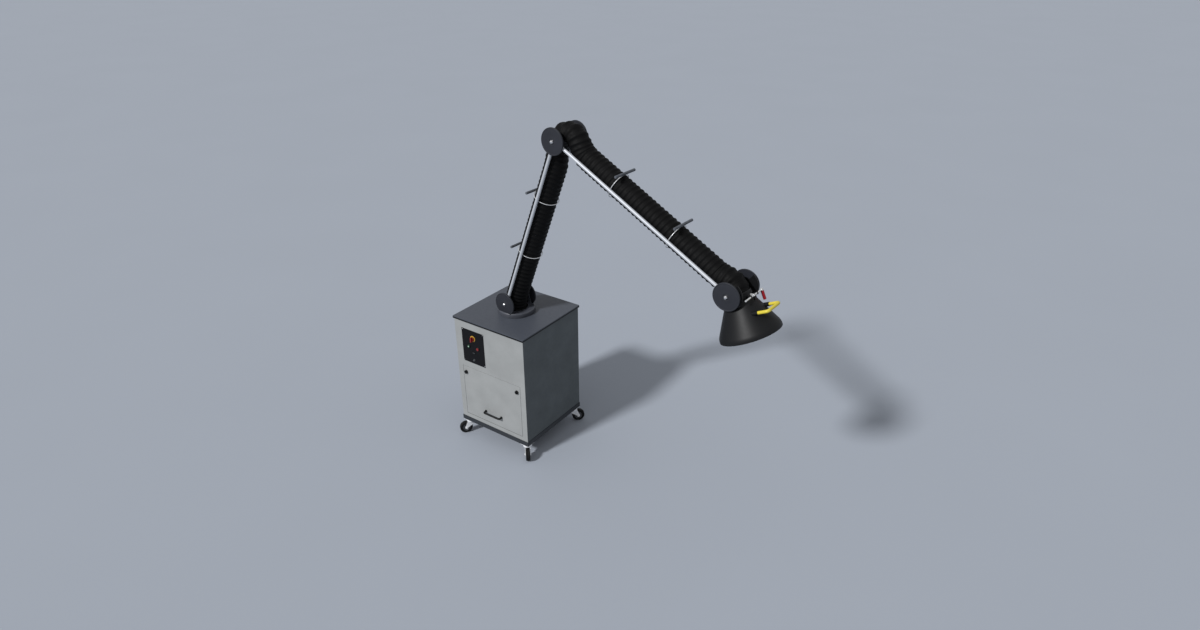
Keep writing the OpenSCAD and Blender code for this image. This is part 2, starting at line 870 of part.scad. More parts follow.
// Top plates of the casters with their races and kingpins
module caster_plates() color(zinc) {
    for (i = [0:3])
        translate([caster_x[i], caster_y[i], 0])
            difference() {
                union() {
                    translate([0, 0, plate_bottom + plate_thick / 2])
                        cube([caster_plate, caster_plate, plate_thick], center = true);
                    translate([0, 0, plate_bottom - race_h])
                        cylinder(r = race_r, h = race_h + cut);
                    translate([0, 0, head_low - 1])
                        cylinder(r = kingpin_r, h = plate_bottom - head_low + 1 + cut, $fn = 32);
                }
                for (sx = [-1, 1])
                    for (sy = [-1, 1])
                        translate([sx * caster_bolt_at, sy * caster_bolt_at, plate_bottom - cut])
                            cylinder(r = caster_bolt_r + 0.1, h = plate_thick + 2 * cut, $fn = 32);
            }
}

// Door

module door_section(inset) {
    translate([front_y + inset, hinge_z])
        square([door_depth - inset + (inset > 0 ? cut : 0), door_h - door_roll - inset]);
    translate([hinge_y, door_z + inset])
        square([door_depth - door_roll + (inset > 0 ? cut : 0), door_roll - inset + 0.01]);
    translate([hinge_y, hinge_z])
        circle(r = door_roll - inset, $fn = 48);
}

// A folded pan whose bottom edge is rolled about the hinge axis
module door_panel() color(light_grey) {
    difference() {
        door_slab(door_w, 0);
        door_slab(door_w - 2 * sheet_t, sheet_t);
        for (side = [-1, 1]) {
            translate([side * (door_w / 2 - sheet_t / 2), hinge_y, hinge_z])
                rotate([0, 90, 0])
                    cylinder(r = hinge_pin_r + slip, h = 2 * sheet_t, center = true, $fn = 32);
            translate([side * latch_x, 0, latch_z])
                rod_y(latch_shaft_r + slip, front_y - cut, front_y + sheet_t + cut, $fn = 32);
        }
    }
}

module door_slab(width, inset) {
    translate([-width / 2, 0, 0])
        rotate([90, 0, 90])
            linear_extrude(width)
                door_section(inset);
}

// Bow handle with round feet
module door_handle() color(soft_black) {
    half = handle_len / 2 - handle_r;
    bend = 12;
    translate([0, front_y, door_z + handle_up]) {
        for (side = [0, 1])
            mirror([side, 0, 0]) {
                translate([half, 0, 0]) {
                    rod_y(handle_r + 3, -3, 0, $fn = 32);
                    rod_y(handle_r, -(handle_out - handle_r - bend), -2, $fn = 32);
                }
                translate([half - bend, -(handle_out - handle_r - bend), 0])
                    mirror([0, 1, 0])
                        rotate_extrude(angle = 90, $fn = 48)
                            translate([bend, 0])
                                circle(r = handle_r, $fn = 32);
            }
        translate([-(half - bend), -(handle_out - handle_r), 0])
            rotate([0, 90, 0])
                cylinder(r = handle_r, h = 2 * (half - bend), $fn = 32);
    }
}

// Quarter-turn latch: winged knob, shaft through the door, and a cam behind it
module latch(side) color(soft_black) {
    translate([side * latch_x, 0, latch_z]) {
        rod_y(latch_knob_r, front_y - latch_knob_out, front_y - seat_gap, $fn = 48);
        box_from([-3, front_y - latch_knob_out - 3, -latch_knob_r + 2],
                 [3, front_y - latch_knob_out + cut, latch_knob_r - 2]);
        rod_y(latch_shaft_r, front_y - cut, cam_y + cam_t, $fn = 32);
        rod_y(latch_body_r, front_y + sheet_t + seat_gap, cam_y, $fn = 32);
        box_from([-cam_w / 2, cam_y, -cam_len], [cam_w / 2, cam_y + cam_t, cam_w / 2]);
    }
}

// Control parts that move

module main_switch() color(signal_red) {
    face = panel_y - switch_plate_t - seat_gap;
    translate([panel_x, 0, switch_z]) {
        rod_y(knob_r, face - knob_t, face, $fn = 48);
        box_from([-knob_bar_w / 2, face - knob_bar_out, -knob_bar_len / 2],
                 [knob_bar_w / 2, face - knob_t + cut, knob_bar_len / 2]);
        rod_y(switch_r, face - cut, front_y + 14, $fn = 32);
    }
}

module push_button(side, paint) color(paint) {
    translate([panel_x + side * button_x, panel_y - button_out, panel_z])
        rotate([-90, 0, 0])
            rotate_extrude($fn = 48)
                polygon(concat([[0, 0]], arc(button_r - 2, 2, 2, -90, 0, 4),
                               [[button_r, button_len], [0, button_len]]));
}

// Turntable

module turntable_ring() color(disc_grey) {
    at_turntable() {
        difference() {
            union() {
                rotate_extrude($fn = 96)
                    polygon(ring_profile());
                both_sides()
                    ear();
            }
            both_sides()
                translate([0, 0, shoulder_z]) {
                    rod_y(slot_r, slot_in, slot_out, $fn = 96);
                    rod_y(bolt_r + slip, plate_in - cut, plate_out + cut, $fn = 32);
                }
        }
        translate([0, 0, lid_z - sheet_t - seat_gap - retainer_h])
            difference() {
                cylinder(r = retainer_r, h = retainer_h);
                translate([0, 0, -cut])
                    cylinder(r = spigot_r + slip, h = retainer_h + 2 * cut);
            }
    }
}

// Skirt, deck, inner wall, inner floor and the spigot that the hose slips over
function ring_profile() = concat(
    [[spigot_r - spigot_wall, lid_z - sheet_t - seat_gap - retainer_h - 2],
     [spigot_r, lid_z - sheet_t - seat_gap - retainer_h - 2],
     [spigot_r, inner_floor],
     [ring_hole_r + 4, inner_floor],
     [ring_hole_r + 4, ring_top - deck_t],
     [ring_r - ring_wall, ring_top - deck_t],
     [ring_r - ring_wall, ring_z],
     [ring_r, ring_z]],
    arc(ring_r - 10, ring_top - 10, 10, 0, 90, 8),
    arc(ring_hole_r + 3, ring_top - 3, 3, 90, 180, 4),
    [[ring_hole_r, inner_floor + inner_floor_t],
     [spigot_r, inner_floor + inner_floor_t],
     [spigot_r, inner_floor + spigot_h],
     [spigot_r - spigot_wall, inner_floor + spigot_h]]);

module ear() {
    translate([0, 0, shoulder_z])
        rod_y(plate_r, plate_in, plate_out);
    translate([0, plate_out, 0])
        rotate([90, 0, 0])
            linear_extrude(plate_t)
                polygon([[-plate_r - 12, ring_top - 2], [plate_r + 12, ring_top - 2],
                         [plate_r - 1, shoulder_z], [-plate_r + 1, shoulder_z]]);
}

// Joint pieces, in a frame whose origin is on the joint's axis

// Moulded cover with a hub and a recess for the nut
module cover_discs() color(disc_grey) {
    both_sides()
        rotate([-90, 0, 0])
            rotate_extrude($fn = 96)
                polygon(concat(
                    [[bolt_r + slip, plate_out], [hub_r_disc, plate_out], [hub_r_disc, disc_in],
                     [disc_r, disc_in]],
                    arc(disc_r - 3, disc_out - 3, 3, 0, 90, 4),
                    [[nut_recess_r + nut_recess, disc_out], [nut_recess_r, disc_out - nut_recess],
                     [bolt_r + slip, disc_out - nut_recess]]));
}

// Pivot bolts, domed nuts and friction washers
module pivots() {
    nut_z = disc_out - nut_recess;
    both_sides()
        rotate([-90, 0, 0]) {
            color(zinc) {
                translate([0, 0, lug_in - seat_gap - bolt_head_t])
                    cylinder(r = bolt_head_r, h = bolt_head_t, $fn = 48);
                translate([0, 0, lug_in - seat_gap - cut])
                    cylinder(r = bolt_r, h = nut_z + 6 - lug_in + seat_gap + cut, $fn = 48);
                rotate_extrude($fn = 48)
                    polygon(concat([[bolt_r + slip, nut_z], [nut_r, nut_z]],
                                   arc(0, nut_z + nut_h - nut_r - 1, nut_r, 20, 90, 6),
                                   [[0, nut_z + 6 + slip], [bolt_r + slip, nut_z + 6 + slip]]));
            }
            color(frame_black)
                translate([0, 0, pad_in])
                    difference() {
                        cylinder(r = lug_r - 2, h = pad_t - slip, $fn = 48);
                        translate([0, 0, -cut])
                            cylinder(r = bolt_r + slip, h = pad_t + 2 * cut, $fn = 48);
                    }
        }
}

// Block and plug that carry a tube's end; the tube runs towards +Z
module tube_block(inner) {
    box_from([-block_half, inner, tube_end - block_h], [block_half, tube_v + tube_r, tube_end]);
    translate([0, tube_v, tube_end - cut])
        cylinder(r = plug_r, h = spigot_len + cut, $fn = 32);
}

module inner_lugs() {
    both_sides()
        difference() {
            union() {
                rod_y(lug_r, lug_in, lug_out, $fn = 48);
                box_from([-15, lug_in, 0], [15, lug_out, tube_end - 4]);
                tube_block(lug_in);
            }
            rod_y(bolt_r + slip, lug_in - cut, lug_out + cut, $fn = 48);
        }
}

module outer_lugs() {
    both_sides()
        difference() {
            union() {
                rod_y(plate_r, plate_in, plate_out, $fn = 64);
                box_from([-15, plate_in, 0], [15, plate_out, tube_end - 4]);
                tube_block(tube_v - tube_r);
            }
            rod_y(bolt_r + slip, plate_in - cut, plate_out + cut, $fn = 48);
        }
}

module arm_tubes(len) color(tube_silver) {
    both_sides()
        translate([0, tube_v, tube_end])
            difference() {
                cylinder(r = tube_r, h = len - 2 * tube_end, $fn = 48);
                translate([0, 0, -cut])
                    cylinder(r = tube_r - tube_wall, h = len - 2 * tube_end + 2 * cut, $fn = 48);
            }
}

// Wire hoops round the hose at the thirds of an arm
module hoops(len) color(wire_white) {
    for (third = [1, 2])
        translate([0, 0, len * third / 3])
            rotate_extrude($fn = 96)
                translate([hoop_r, 0])
                    circle(r = wire_r, $fn = 24);
}

// Round-ended bars that lie across the hoops on the arm's outer side
module cross_bars(len) color(rubber_grey) {
    for (third = [1, 2])
        translate([-bar_x, 0, len * third / 3])
            both_sides()
                rotate([-90, 0, 0])
                    rotate_extrude($fn = 48)
                        polygon(concat([[0, 0], [bar_r, 0]], arc(bar_r - 3, bar_half - 3, 3, 0, 90, 4),
                                       [[0, bar_half]]));
}

// Hose

// A straight ribbed length from z0 to z1 with whole ribs
module straight_hose(z0, z1) color(soft_black) {
    ribs = round((z1 - z0) / rib_pitch);
    pitch = (z1 - z0) / ribs;
    rise = pitch / 4;
    rotate_extrude($fn = 64)
        polygon(concat(
            [for (i = [0:ribs - 1]) let (z = z0 + pitch * i)
                each [[valley_r, z], [hose_r - 1, z + rise],
                      [hose_r, z + rise * 2], [hose_r - 1, z + rise * 3]]],
            [[valley_r, z1], [bore_r, z1], [bore_r, z0]]));
}

// A curve through two points with given end directions, each as long as its pull
function along(p0, d0, p1, d1, t) =
    p0 * (2 * t ^ 3 - 3 * t ^ 2 + 1) + d0 * (t ^ 3 - 2 * t ^ 2 + t)
    + p1 * (-2 * t ^ 3 + 3 * t ^ 2) + d1 * (t ^ 3 - t ^ 2);
function heading(p0, d0, p1, d1, t) =
    p0 * (6 * t ^ 2 - 6 * t) + d0 * (3 * t ^ 2 - 4 * t + 1)
    + p1 * (-6 * t ^ 2 + 6 * t) + d1 * (3 * t ^ 2 - 2 * t);

// Points and directions, in the arm's plane, of n steps along a curve
function walk(p0, d0, p1, d1, n, skip) =
    [for (i = [skip:n]) let (h = heading(p0, d0, p1, d1, i / n))
        [along(p0, d0, p1, d1, i / n), h / norm(h)]];

// The places of one straight rib, without its far end or without its near one
function straight_walk(start, way, skip) =
    [for (i = [skip:rings_per_rib - 1 + skip]) [start + i / rings_per_rib * end_straight * way, way]];

// One ring of points round a place on the curve, flattened on the inside of the bend
function hose_ring(at, r, flat) =
    [for (k = [0:bend_sides - 1])
        let (a = 360 / bend_sides * k, x = r * cos(a) * (cos(a) > 0 ? 1 - flat : 1))
            [at[0][0] + x * at[1][1], r * sin(a), at[0][1] - x * at[1][0]]];

function rib_radius(i) = i % rings_per_rib == 0 ? valley_r : i % rings_per_rib == 2 ? hose_r : hose_r - 1;

function tube_faces(rings, first, flip) =
    [for (j = [0:rings - 2]) for (k = [0:bend_sides - 1])
        let (a = first + j * bend_sides + k, b = first + j * bend_sides + (k + 1) % bend_sides)
            each (flip ? [[a, b, a + bend_sides], [b, b + bend_sides, a + bend_sides]]
                       : [[a, a + bend_sides, b], [b, a + bend_sides, b + bend_sides]])];

function end_faces(outer, inner, flip) =
    [for (k = [0:bend_sides - 1])
        let (k1 = (k + 1) % bend_sides)
            each (flip ? [[outer + k, inner + k, outer + k1], [outer + k1, inner + k, inner + k1]]
                       : [[outer + k, outer + k1, inner + k], [outer + k1, inner + k1, inner + k]])];

// A ribbed hose with its bore along the given places, flattened most in the middle
module bent_hose(places, flat = 0) color(soft_black) {
    n = len(places);
    m = floor((n - 1) / rings_per_rib) + 1;
    squeeze = [for (i = [0:n - 1]) flat * sin(180 * i / (n - 1))];
    outer = [for (i = [0:n - 1]) each hose_ring(places[i], rib_radius(i), squeeze[i])];
    inner = [for (i = [0:rings_per_rib:n - 1]) each hose_ring(places[i], bore_r, squeeze[i])];
    inner_at = n * bend_sides;
    polyhedron(
        points = concat(outer, inner),
        faces = concat(
            tube_faces(n, 0, false),
            tube_faces(m, inner_at, true),
            end_faces(0, inner_at, false),
            end_faces((n - 1) * bend_sides, inner_at + (m - 1) * bend_sides, true)),
        convexity = 6);
}

function dir(tilt) = [sin(tilt), cos(tilt)];
elbow_at = [0, shoulder_z] + upper_len * dir(upper_tilt);
hood_at = elbow_at + lower_len * dir(lower_tilt);

// The first rib stays straight on the ring's spigot
module shoulder_bend() {
    start = [0, hose_start_z];
    leave = start + end_straight * dir(0);
    end = [0, shoulder_z] + end_bend_len * dir(upper_tilt);
    pull = norm(end - leave);
    ribs = round(pull / rib_pitch);
    at_turntable()
        bent_hose(concat(
            straight_walk(start, dir(0), 0),
            walk(leave, pull * dir(0), end, pull * dir(upper_tilt), ribs * rings_per_rib, 0)));
}

// Two half curves that meet outside the elbow's axis
module elbow_bend() {
    start = elbow_at - elbow_bend_len * dir(upper_tilt);
    middle = elbow_at + elbow_bulge * dir(elbow_bulge_tilt);
    end = elbow_at + elbow_bend_len * dir(lower_tilt);
    first = norm(middle - start);
    second = norm(end - middle);
    pull = elbow_pull * first;
    pull_on = elbow_pull * second;
    steps = round(first * elbow_slack / rib_pitch) * rings_per_rib;
    steps_on = round(second * elbow_slack / rib_pitch) * rings_per_rib;
    at_turntable()
        bent_hose(
            concat(
                walk(start, pull * dir(upper_tilt), middle, pull * dir(elbow_mid_tilt), steps, 0),
                walk(middle, pull_on * dir(elbow_mid_tilt), end, pull_on * dir(lower_tilt), steps_on, 1)),
            elbow_flat);
}

// The last rib stays straight on the neck's spigot
module hood_bend() {
    start = hood_at - end_bend_len * dir(lower_tilt);
    end = hood_at + (neck_top - seat_gap) * dir(hood_tilt);
    meet = end - end_straight * dir(hood_tilt);
    pull = norm(meet - start);
    ribs = round(pull / rib_pitch);
    at_turntable()
        bent_hose(concat(
            walk(start, pull * dir(lower_tilt), meet, pull * dir(hood_tilt), ribs * rings_per_rib, 0),
            straight_walk(meet, dir(hood_tilt), 1)));
}

// Arms

module upper_lugs() color(frame_black) {
    at_shoulder() {
        inner_lugs();
        translate([0, 0, upper_len])
            mirror([0, 0, 1])
                outer_lugs();
    }
}

module lower_lugs() color(frame_black) {
    at_elbow() {
        inner_lugs();
        translate([0, 0, lower_len])
            mirror([0, 0, 1])
                inner_lugs();
    }
}

// Hood

// Side plates: a half disc on the hood's side of the axis, down to the collar's flats,
// and the band that clamps the hose on the neck's spigot
module hood_yoke() color(frame_black) {
    at_hood() {
        both_sides()
            difference() {
                union() {
                    rod_y(plate_r, plate_in, plate_out);
                    translate([0, plate_out, 0])
                        rotate([90, 0, 0])
                            linear_extrude(plate_t)
                                intersection() {
                                    circle(r = yoke_r, $fn = 96);
                                    rotate(yoke_turn)
                                        translate([-yoke_r, 0])
                                            square([2 * yoke_r, yoke_r]);
                                    translate([-yoke_r, -yoke_r])
                                        square([2 * yoke_r, yoke_r + collar_low - 1]);
                                }
                }
                rod_y(bolt_r + slip, plate_in - cut, plate_out + cut, $fn = 48);
                for (x = [-1, 1])
                    translate([x * yoke_screw_x, 0, yoke_screw_a])
                        rod_y(yoke_screw_r + slip, plate_in - cut, plate_out + cut, $fn = 32);
            }
        hose_clamp();
    }
}

module hose_clamp() {
    translate([0, 0, clamp_at])
        difference() {
            cylinder(r = hose_r + seat_gap + clamp_t, h = clamp_w, $fn = 96);
            translate([0, 0, -cut])
                cylinder(r = hose_r + seat_gap, h = clamp_w + 2 * cut, $fn = 96);
        }
}

module hood_screws() color(zinc) {
    both_sides()
        for (x = [-1, 1])
            translate([x * yoke_screw_x, 0, yoke_screw_a]) {
                rod_y(5.5, plate_out, plate_out + 3, $fn = 32);
                rod_y(yoke_screw_r, plate_in - 3, plate_out + cut, $fn = 32);
            }
}

// Spigot, neck and collar in one moulding, with a flat for each yoke plate and lugs for the spindle
module hood_neck() color(frame_black) {
    at_hood() {
        difference() {
            union() {
                rotate_extrude($fn = 96)
                    polygon([[spigot_r - spigot_wall, spigot_end], [spigot_r, spigot_end],
                             [spigot_r, neck_top], [neck_r - 2, neck_top],
                             [neck_r, neck_top + 2], [neck_r, collar_at],
                             [collar_r - 2, collar_at], [collar_r, collar_at + 2], [collar_r, collar_low],
                             [collar_in_r, collar_low], [collar_in_r, collar_at + neck_step],
                             [neck_in_r, collar_at - 4], [neck_in_r, neck_top + neck_step],
                             [spigot_r - spigot_wall, neck_top]]);
                both_sides()
                    box_from([-spindle_b - 8, damper_lug_in, spindle_a - damper_lug_half],
                             [-neck_r + 9, damper_lug_in + damper_lug_t, spindle_a + damper_lug_half]);
            }
            both_sides()
                box_from([-yoke_r, plate_in, -yoke_r], [yoke_r, tube_v * 2, collar_low + cut]);
            box_from([-collar_r - cut, -crank_slot / 2, spindle_a - 18],
                     [-neck_r + 8, crank_slot / 2, collar_low + cut]);
            translate([-spindle_b, 0, spindle_a])
                rod_y(spindle_r + slip, -tube_v, tube_v, $fn = 32);
            both_sides()
                for (x = [-1, 1])
                    translate([x * yoke_screw_x, 0, yoke_screw_a])
                        rod_y(yoke_screw_r + slip, plate_in - 4, plate_out, $fn = 32);
        }
    }
}

function cone_line(inset) = concat(
    [[collar_r - inset / cos(cone_angle), collar_low]],
    [for (p = arc(0, 0, lip_round - inset, cone_angle, 0, 6))
        [mouth_r - lip_round + p[0], lip_a - p[1]]],
    [[mouth_r - inset, mouth_at]]);

module cone_solid(inset) {
    rotate_extrude($fn = 96)
        polygon(concat([[0, collar_low]], cone_line(inset), [[0, mouth_at]]));
}

// Spun cone with a soft corner, a lip and two sockets for the yellow handle
module hood_cone() color(frame_black) {
    at_hood()
        difference() {
            union() {
                cone_solid(0);
                both_sides()
                    translate([-socket_out, grip_v, grip_a])
                        rotate([0, 90, 0])
                            cylinder(r = socket_r, h = socket_out - grip_v, $fn = 32);
            }
            cone_solid(hood_t);
            translate([0, 0, collar_low - cut])
                cylinder(r = collar_r - hood_t / cos(cone_angle), h = cut + 0.01, $fn = 96);
            translate([0, 0, mouth_at - 0.01])
                cylinder(r = mouth_r - hood_t, h = cut, $fn = 96);
            both_sides()
                translate([-socket_out - cut, grip_v, grip_a])
                    rotate([0, 90, 0])
                        cylinder(r = grip_r + slip, h = socket_depth + cut, $fn = 32);
        }
}

// Bent tube
module hood_handle() color(signal_yellow) {
    leg_x = grip_out - grip_bend;
    leg_end = socket_out - socket_depth + seat_gap;
    at_hood()
        translate([0, 0, grip_a]) {
            both_sides() {
                translate([-leg_x, grip_v, 0])
                    rotate([0, 90, 0])
                        cylinder(r = grip_r, h = leg_x - leg_end, $fn = 32);
                translate([-leg_x, grip_v - grip_bend, 0])
                    rotate([0, 0, 90])
                        rotate_extrude(angle = 90, $fn = 48)
                            translate([grip_bend, 0])
                                circle(r = grip_r, $fn = 32);
            }
            translate([-grip_out, 0, 0])
                rod_y(grip_r, -(grip_v - grip_bend), grip_v - grip_bend, $fn = 32);
        }
}

// Spindle with its crank arm and flap, and the bent end that takes the grip
module damper_lever() color(zinc) {
    at_hood()
        translate([-spindle_b, 0, spindle_a]) {
            rod_y(spindle_r, -tube_v, lever_v - knuckle + cut, $fn = 32);
            translate([0, crank_w / 2, 0])
                rotate([90, 0, 0])
                    linear_extrude(crank_w)
                        polygon([[-spindle_r, -spindle_r], [-spindle_r, spindle_r], [0, spindle_r],
                                 [crank_len, flap_t - flap_drop], [crank_len, -flap_drop],
                                 [crank_len - 12, -flap_drop]]);
            translate([spindle_b, 0, -flap_drop - flap_t / 2])
                cylinder(r = flap_r, h = flap_t, $fn = 64);
            translate([0, lever_v, 0]) {
                cube(2 * knuckle, center = true);
                cylinder(r = spindle_r, h = rod_end - spindle_a, $fn = 32);
            }
        }
}

module damper_grip() color(signal_red) {
    at_hood()
        translate([-spindle_b, lever_v, 0])
            difference() {
                translate([0, 0, spindle_a + knuckle])
                    rotate_extrude($fn = 32)
                        polygon(concat([[0, 0], [sleeve_r, 0]],
                                       arc(sleeve_r - 3, sleeve_len - 3, 3, 0, 90, 4),
                                       [[0, sleeve_len]]));
                translate([0, 0, spindle_a])
                    cylinder(r = spindle_r + slip, h = rod_end - spindle_a + 0.2, $fn = 32);
            }
}

// Casters, in a frame whose origin is on the floor under the swivel axis, trailing towards +X

module at_caster(i) {
    translate([caster_x[i], caster_y[i], 0])
        rotate([0, 0, caster_turn[i]])
            children();
}

// Pressed fork: swivel head, two legs and the axle bolt
module caster_fork(i, with_pedal) color(zinc) {
    at_caster(i)
        difference() {
            union() {
                translate([0, 0, head_low])
                    cylinder(r = head_r, h = head_top - head_low);
                both_sides()
                    translate([0, leg_in + leg_t, 0])
                        rotate([90, 0, 0])
                            linear_extrude(leg_t) {
                                polygon([[-head_r + 2, head_low + 8], [head_r - 7, head_low + 8],
                                         [trail + boss_r, wheel_r], [trail - boss_r, wheel_r],
                                         [-head_r + 2, head_low - 14]]);
                                translate([trail, wheel_r])
                                    circle(r = boss_r, $fn = 32);
                            }
                translate([trail, 0, wheel_r]) {
                    rod_y(axle_r, -leg_in - leg_t - 3, leg_in + leg_t + 3, $fn = 32);
                    both_sides()
                        rod_y(axle_r + 3, leg_in + leg_t - 0.5, leg_in + leg_t + 4, $fn = 32);
                }
            }
            translate([0, 0, head_low - cut])
                cylinder(r = kingpin_r + slip, h = head_top - head_low + 2 * cut, $fn = 32);
            if (with_pedal)
                translate([pedal_x, 0, pedal_z])
                    rod_y(pedal_pin_r + slip, -leg_in - leg_t - cut, leg_in + leg_t + cut, $fn = 32);
        }
}

// Hub with a web, and a tyre with rounded shoulders
module caster_wheel(i) {
    half = wheel_w / 2;
    at_caster(i)
        translate([trail, 0, wheel_r])
            rotate([90, 0, 0]) {
                color(zinc)
                    rotate_extrude($fn = 64)
                        polygon([[axle_r + slip, -half], [hub_face_r, -half], [hub_face_r + 2, -hub_web],
                                 [hub_r - 4, -hub_web], [hub_r - 2, -half + 2], [hub_r, -half + 2],
                                 [hub_r, half - 2], [hub_r - 2, half - 2], [hub_r - 4, hub_web],
                                 [hub_face_r + 2, hub_web], [hub_face_r, half], [axle_r + slip, half]]);
                color(rubber_grey)
                    rotate_extrude($fn = 64)
                        polygon(concat([[hub_r + slip, -half + 2], [hub_r + 2, -half + 1]],
                                       arc(wheel_r - tyre_round, -half + tyre_round, tyre_round, -80, 0, 5),
                                       arc(wheel_r - tyre_round, half - tyre_round, tyre_round, 0, 80, 5),
                                       [[hub_r + 2, half - 1], [hub_r + slip, half - 2]]));
            }
}

// Foot lever on the front casters, on the side away from the wheel
module brake_pedal(i) color(signal_red) {
    at_caster(i)
        translate([pedal_x, 0, pedal_z]) {
            rod_y(pedal_pin_r + 2, -leg_in + seat_gap, leg_in - seat_gap, $fn = 32);
            rod_y(pedal_pin_r, -leg_in - leg_t, leg_in + leg_t, $fn = 32);
            box_from([-10, -leg_in + 2, -pedal_t / 2], [0, leg_in - 2, pedal_t / 2]);
            translate([-9, 0, 0])
                rotate([0, pedal_lean, 0])
                    box_from([-pedal_reach, -pedal_half, -pedal_t / 2], [0, pedal_half, pedal_t / 2]);
        }
}

base_plinth();
cabinet_wrap();
front_panel();
top_lid();
control_panel();
electrical_fittings();
outlet_grille();
fan_deck();
filter_cassette();
prefilter();
fan_housing();
fan_motor();
control_box();
swivel_flange();
cabinet_fasteners();
caster_plates();
door_panel();
door_handle();
latch(-1);  // latch_left
latch(1);  // latch_right
main_switch();
push_button(-1, button_green);  // start_button
push_button(1, signal_red);  // stop_button
fan_wheel();
turntable_ring();
at_shoulder() cover_discs();  // shoulder_discs
at_shoulder() pivots();  // shoulder_pivots
shoulder_bend();
at_shoulder() arm_tubes(upper_len);  // upper_tubes
upper_lugs();
at_shoulder() hoops(upper_len);  // upper_hoops
at_shoulder() cross_bars(upper_len);  // upper_crossbars
at_shoulder() straight_hose(upper_hose_z0, upper_hose_z1);  // upper_hose
at_elbow() cover_discs();  // elbow_discs
at_elbow() pivots();  // elbow_pivots
elbow_bend();
at_elbow() arm_tubes(lower_len);  // lower_tubes
lower_lugs();
at_elbow() hoops(lower_len);  // lower_hoops
at_elbow() cross_bars(lower_len);  // lower_crossbars
at_elbow() straight_hose(lower_hose_z0, lower_hose_z1);  // lower_hose
hood_bend();
hood_yoke();
at_hood() cover_discs();  // hood_discs
at_hood() { pivots(); hood_screws(); }  // hood_pivots
hood_neck();
hood_cone();
hood_handle();
damper_lever();
damper_grip();
caster_fork(0, true);  // fork_front_left
caster_fork(1, true);  // fork_front_right
caster_fork(2, false);  // fork_rear_right
caster_fork(3, false);  // fork_rear_left
caster_wheel(0);  // wheel_front_left
caster_wheel(1);  // wheel_front_right
caster_wheel(2);  // wheel_rear_right
caster_wheel(3);  // wheel_rear_left
brake_pedal(0);  // pedal_left
brake_pedal(1);  // pedal_right
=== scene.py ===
"""Mobile fume extraction arm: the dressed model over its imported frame, with its studio."""

import logging
import math
from dataclasses import dataclass
from enum import Enum
from functools import cache
from typing import Iterable, Sequence

import bpy
from mathutils import Matrix, Vector, noise


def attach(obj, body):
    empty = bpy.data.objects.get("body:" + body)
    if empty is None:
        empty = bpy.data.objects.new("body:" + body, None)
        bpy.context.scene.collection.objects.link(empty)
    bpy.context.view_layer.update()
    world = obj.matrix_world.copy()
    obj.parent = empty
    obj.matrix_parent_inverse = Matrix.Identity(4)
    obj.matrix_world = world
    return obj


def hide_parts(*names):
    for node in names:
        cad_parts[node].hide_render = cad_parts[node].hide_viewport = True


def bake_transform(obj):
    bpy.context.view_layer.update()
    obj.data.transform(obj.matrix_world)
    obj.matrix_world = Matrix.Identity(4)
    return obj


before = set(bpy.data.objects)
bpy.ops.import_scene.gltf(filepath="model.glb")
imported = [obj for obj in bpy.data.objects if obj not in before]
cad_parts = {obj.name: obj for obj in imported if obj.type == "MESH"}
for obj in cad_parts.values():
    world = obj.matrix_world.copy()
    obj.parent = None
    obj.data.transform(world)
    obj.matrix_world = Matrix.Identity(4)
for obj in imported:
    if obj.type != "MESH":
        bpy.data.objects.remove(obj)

log = logging.getLogger("fume_arm")

Point = tuple[float, float, float]
Colour = tuple[float, float, float]
Pair = tuple[float, float]
Socket = bpy.types.NodeSocket

# The corners of a square, anticlockwise
CORNERS = ((-1, -1), (1, -1), (1, 1), (-1, 1))
# Points closer than this, in metres, become one before a node's edges are rounded
WELD = 0.00001
# Faces that bend less than this become one face there
FLAT = math.radians(0.2)
# Edges that bend more than this are rounded
SHARP = math.radians(38)


def srgb(red: float, green: float, blue: float) -> Colour:
    """A colour written as the eye sees it, each part from 0 to 1, made linear."""
    return tuple(c / 12.92 if c <= 0.04045 else ((c + 0.055) / 1.055) ** 2.4 for c in (red, green, blue))


def arc(x: float, y: float, radius: float, angles: Iterable[int]) -> list[Pair]:
    """Points on a circle about (x, y), at angles in degrees."""
    turns = [math.radians(a) for a in angles]
    return [(x + radius * math.cos(a), y + radius * math.sin(a)) for a in turns]


def rounded(x: float, y: float, radius: float) -> list[Pair]:
    """The outline of a rectangle with round corners, about the origin.

    Args:
        x: Half its width.
        y: Half its height.
        radius: Radius of the corners.

    Returns:
        Points, anticlockwise.
    """
    points = []
    for side, up, turn in ((1, 1, 0), (-1, 1, 90), (-1, -1, 180), (1, -1, 270)):
        points += arc(side * (x - radius), up * (y - radius), radius, range(turn, turn + 91, 18))
    return points


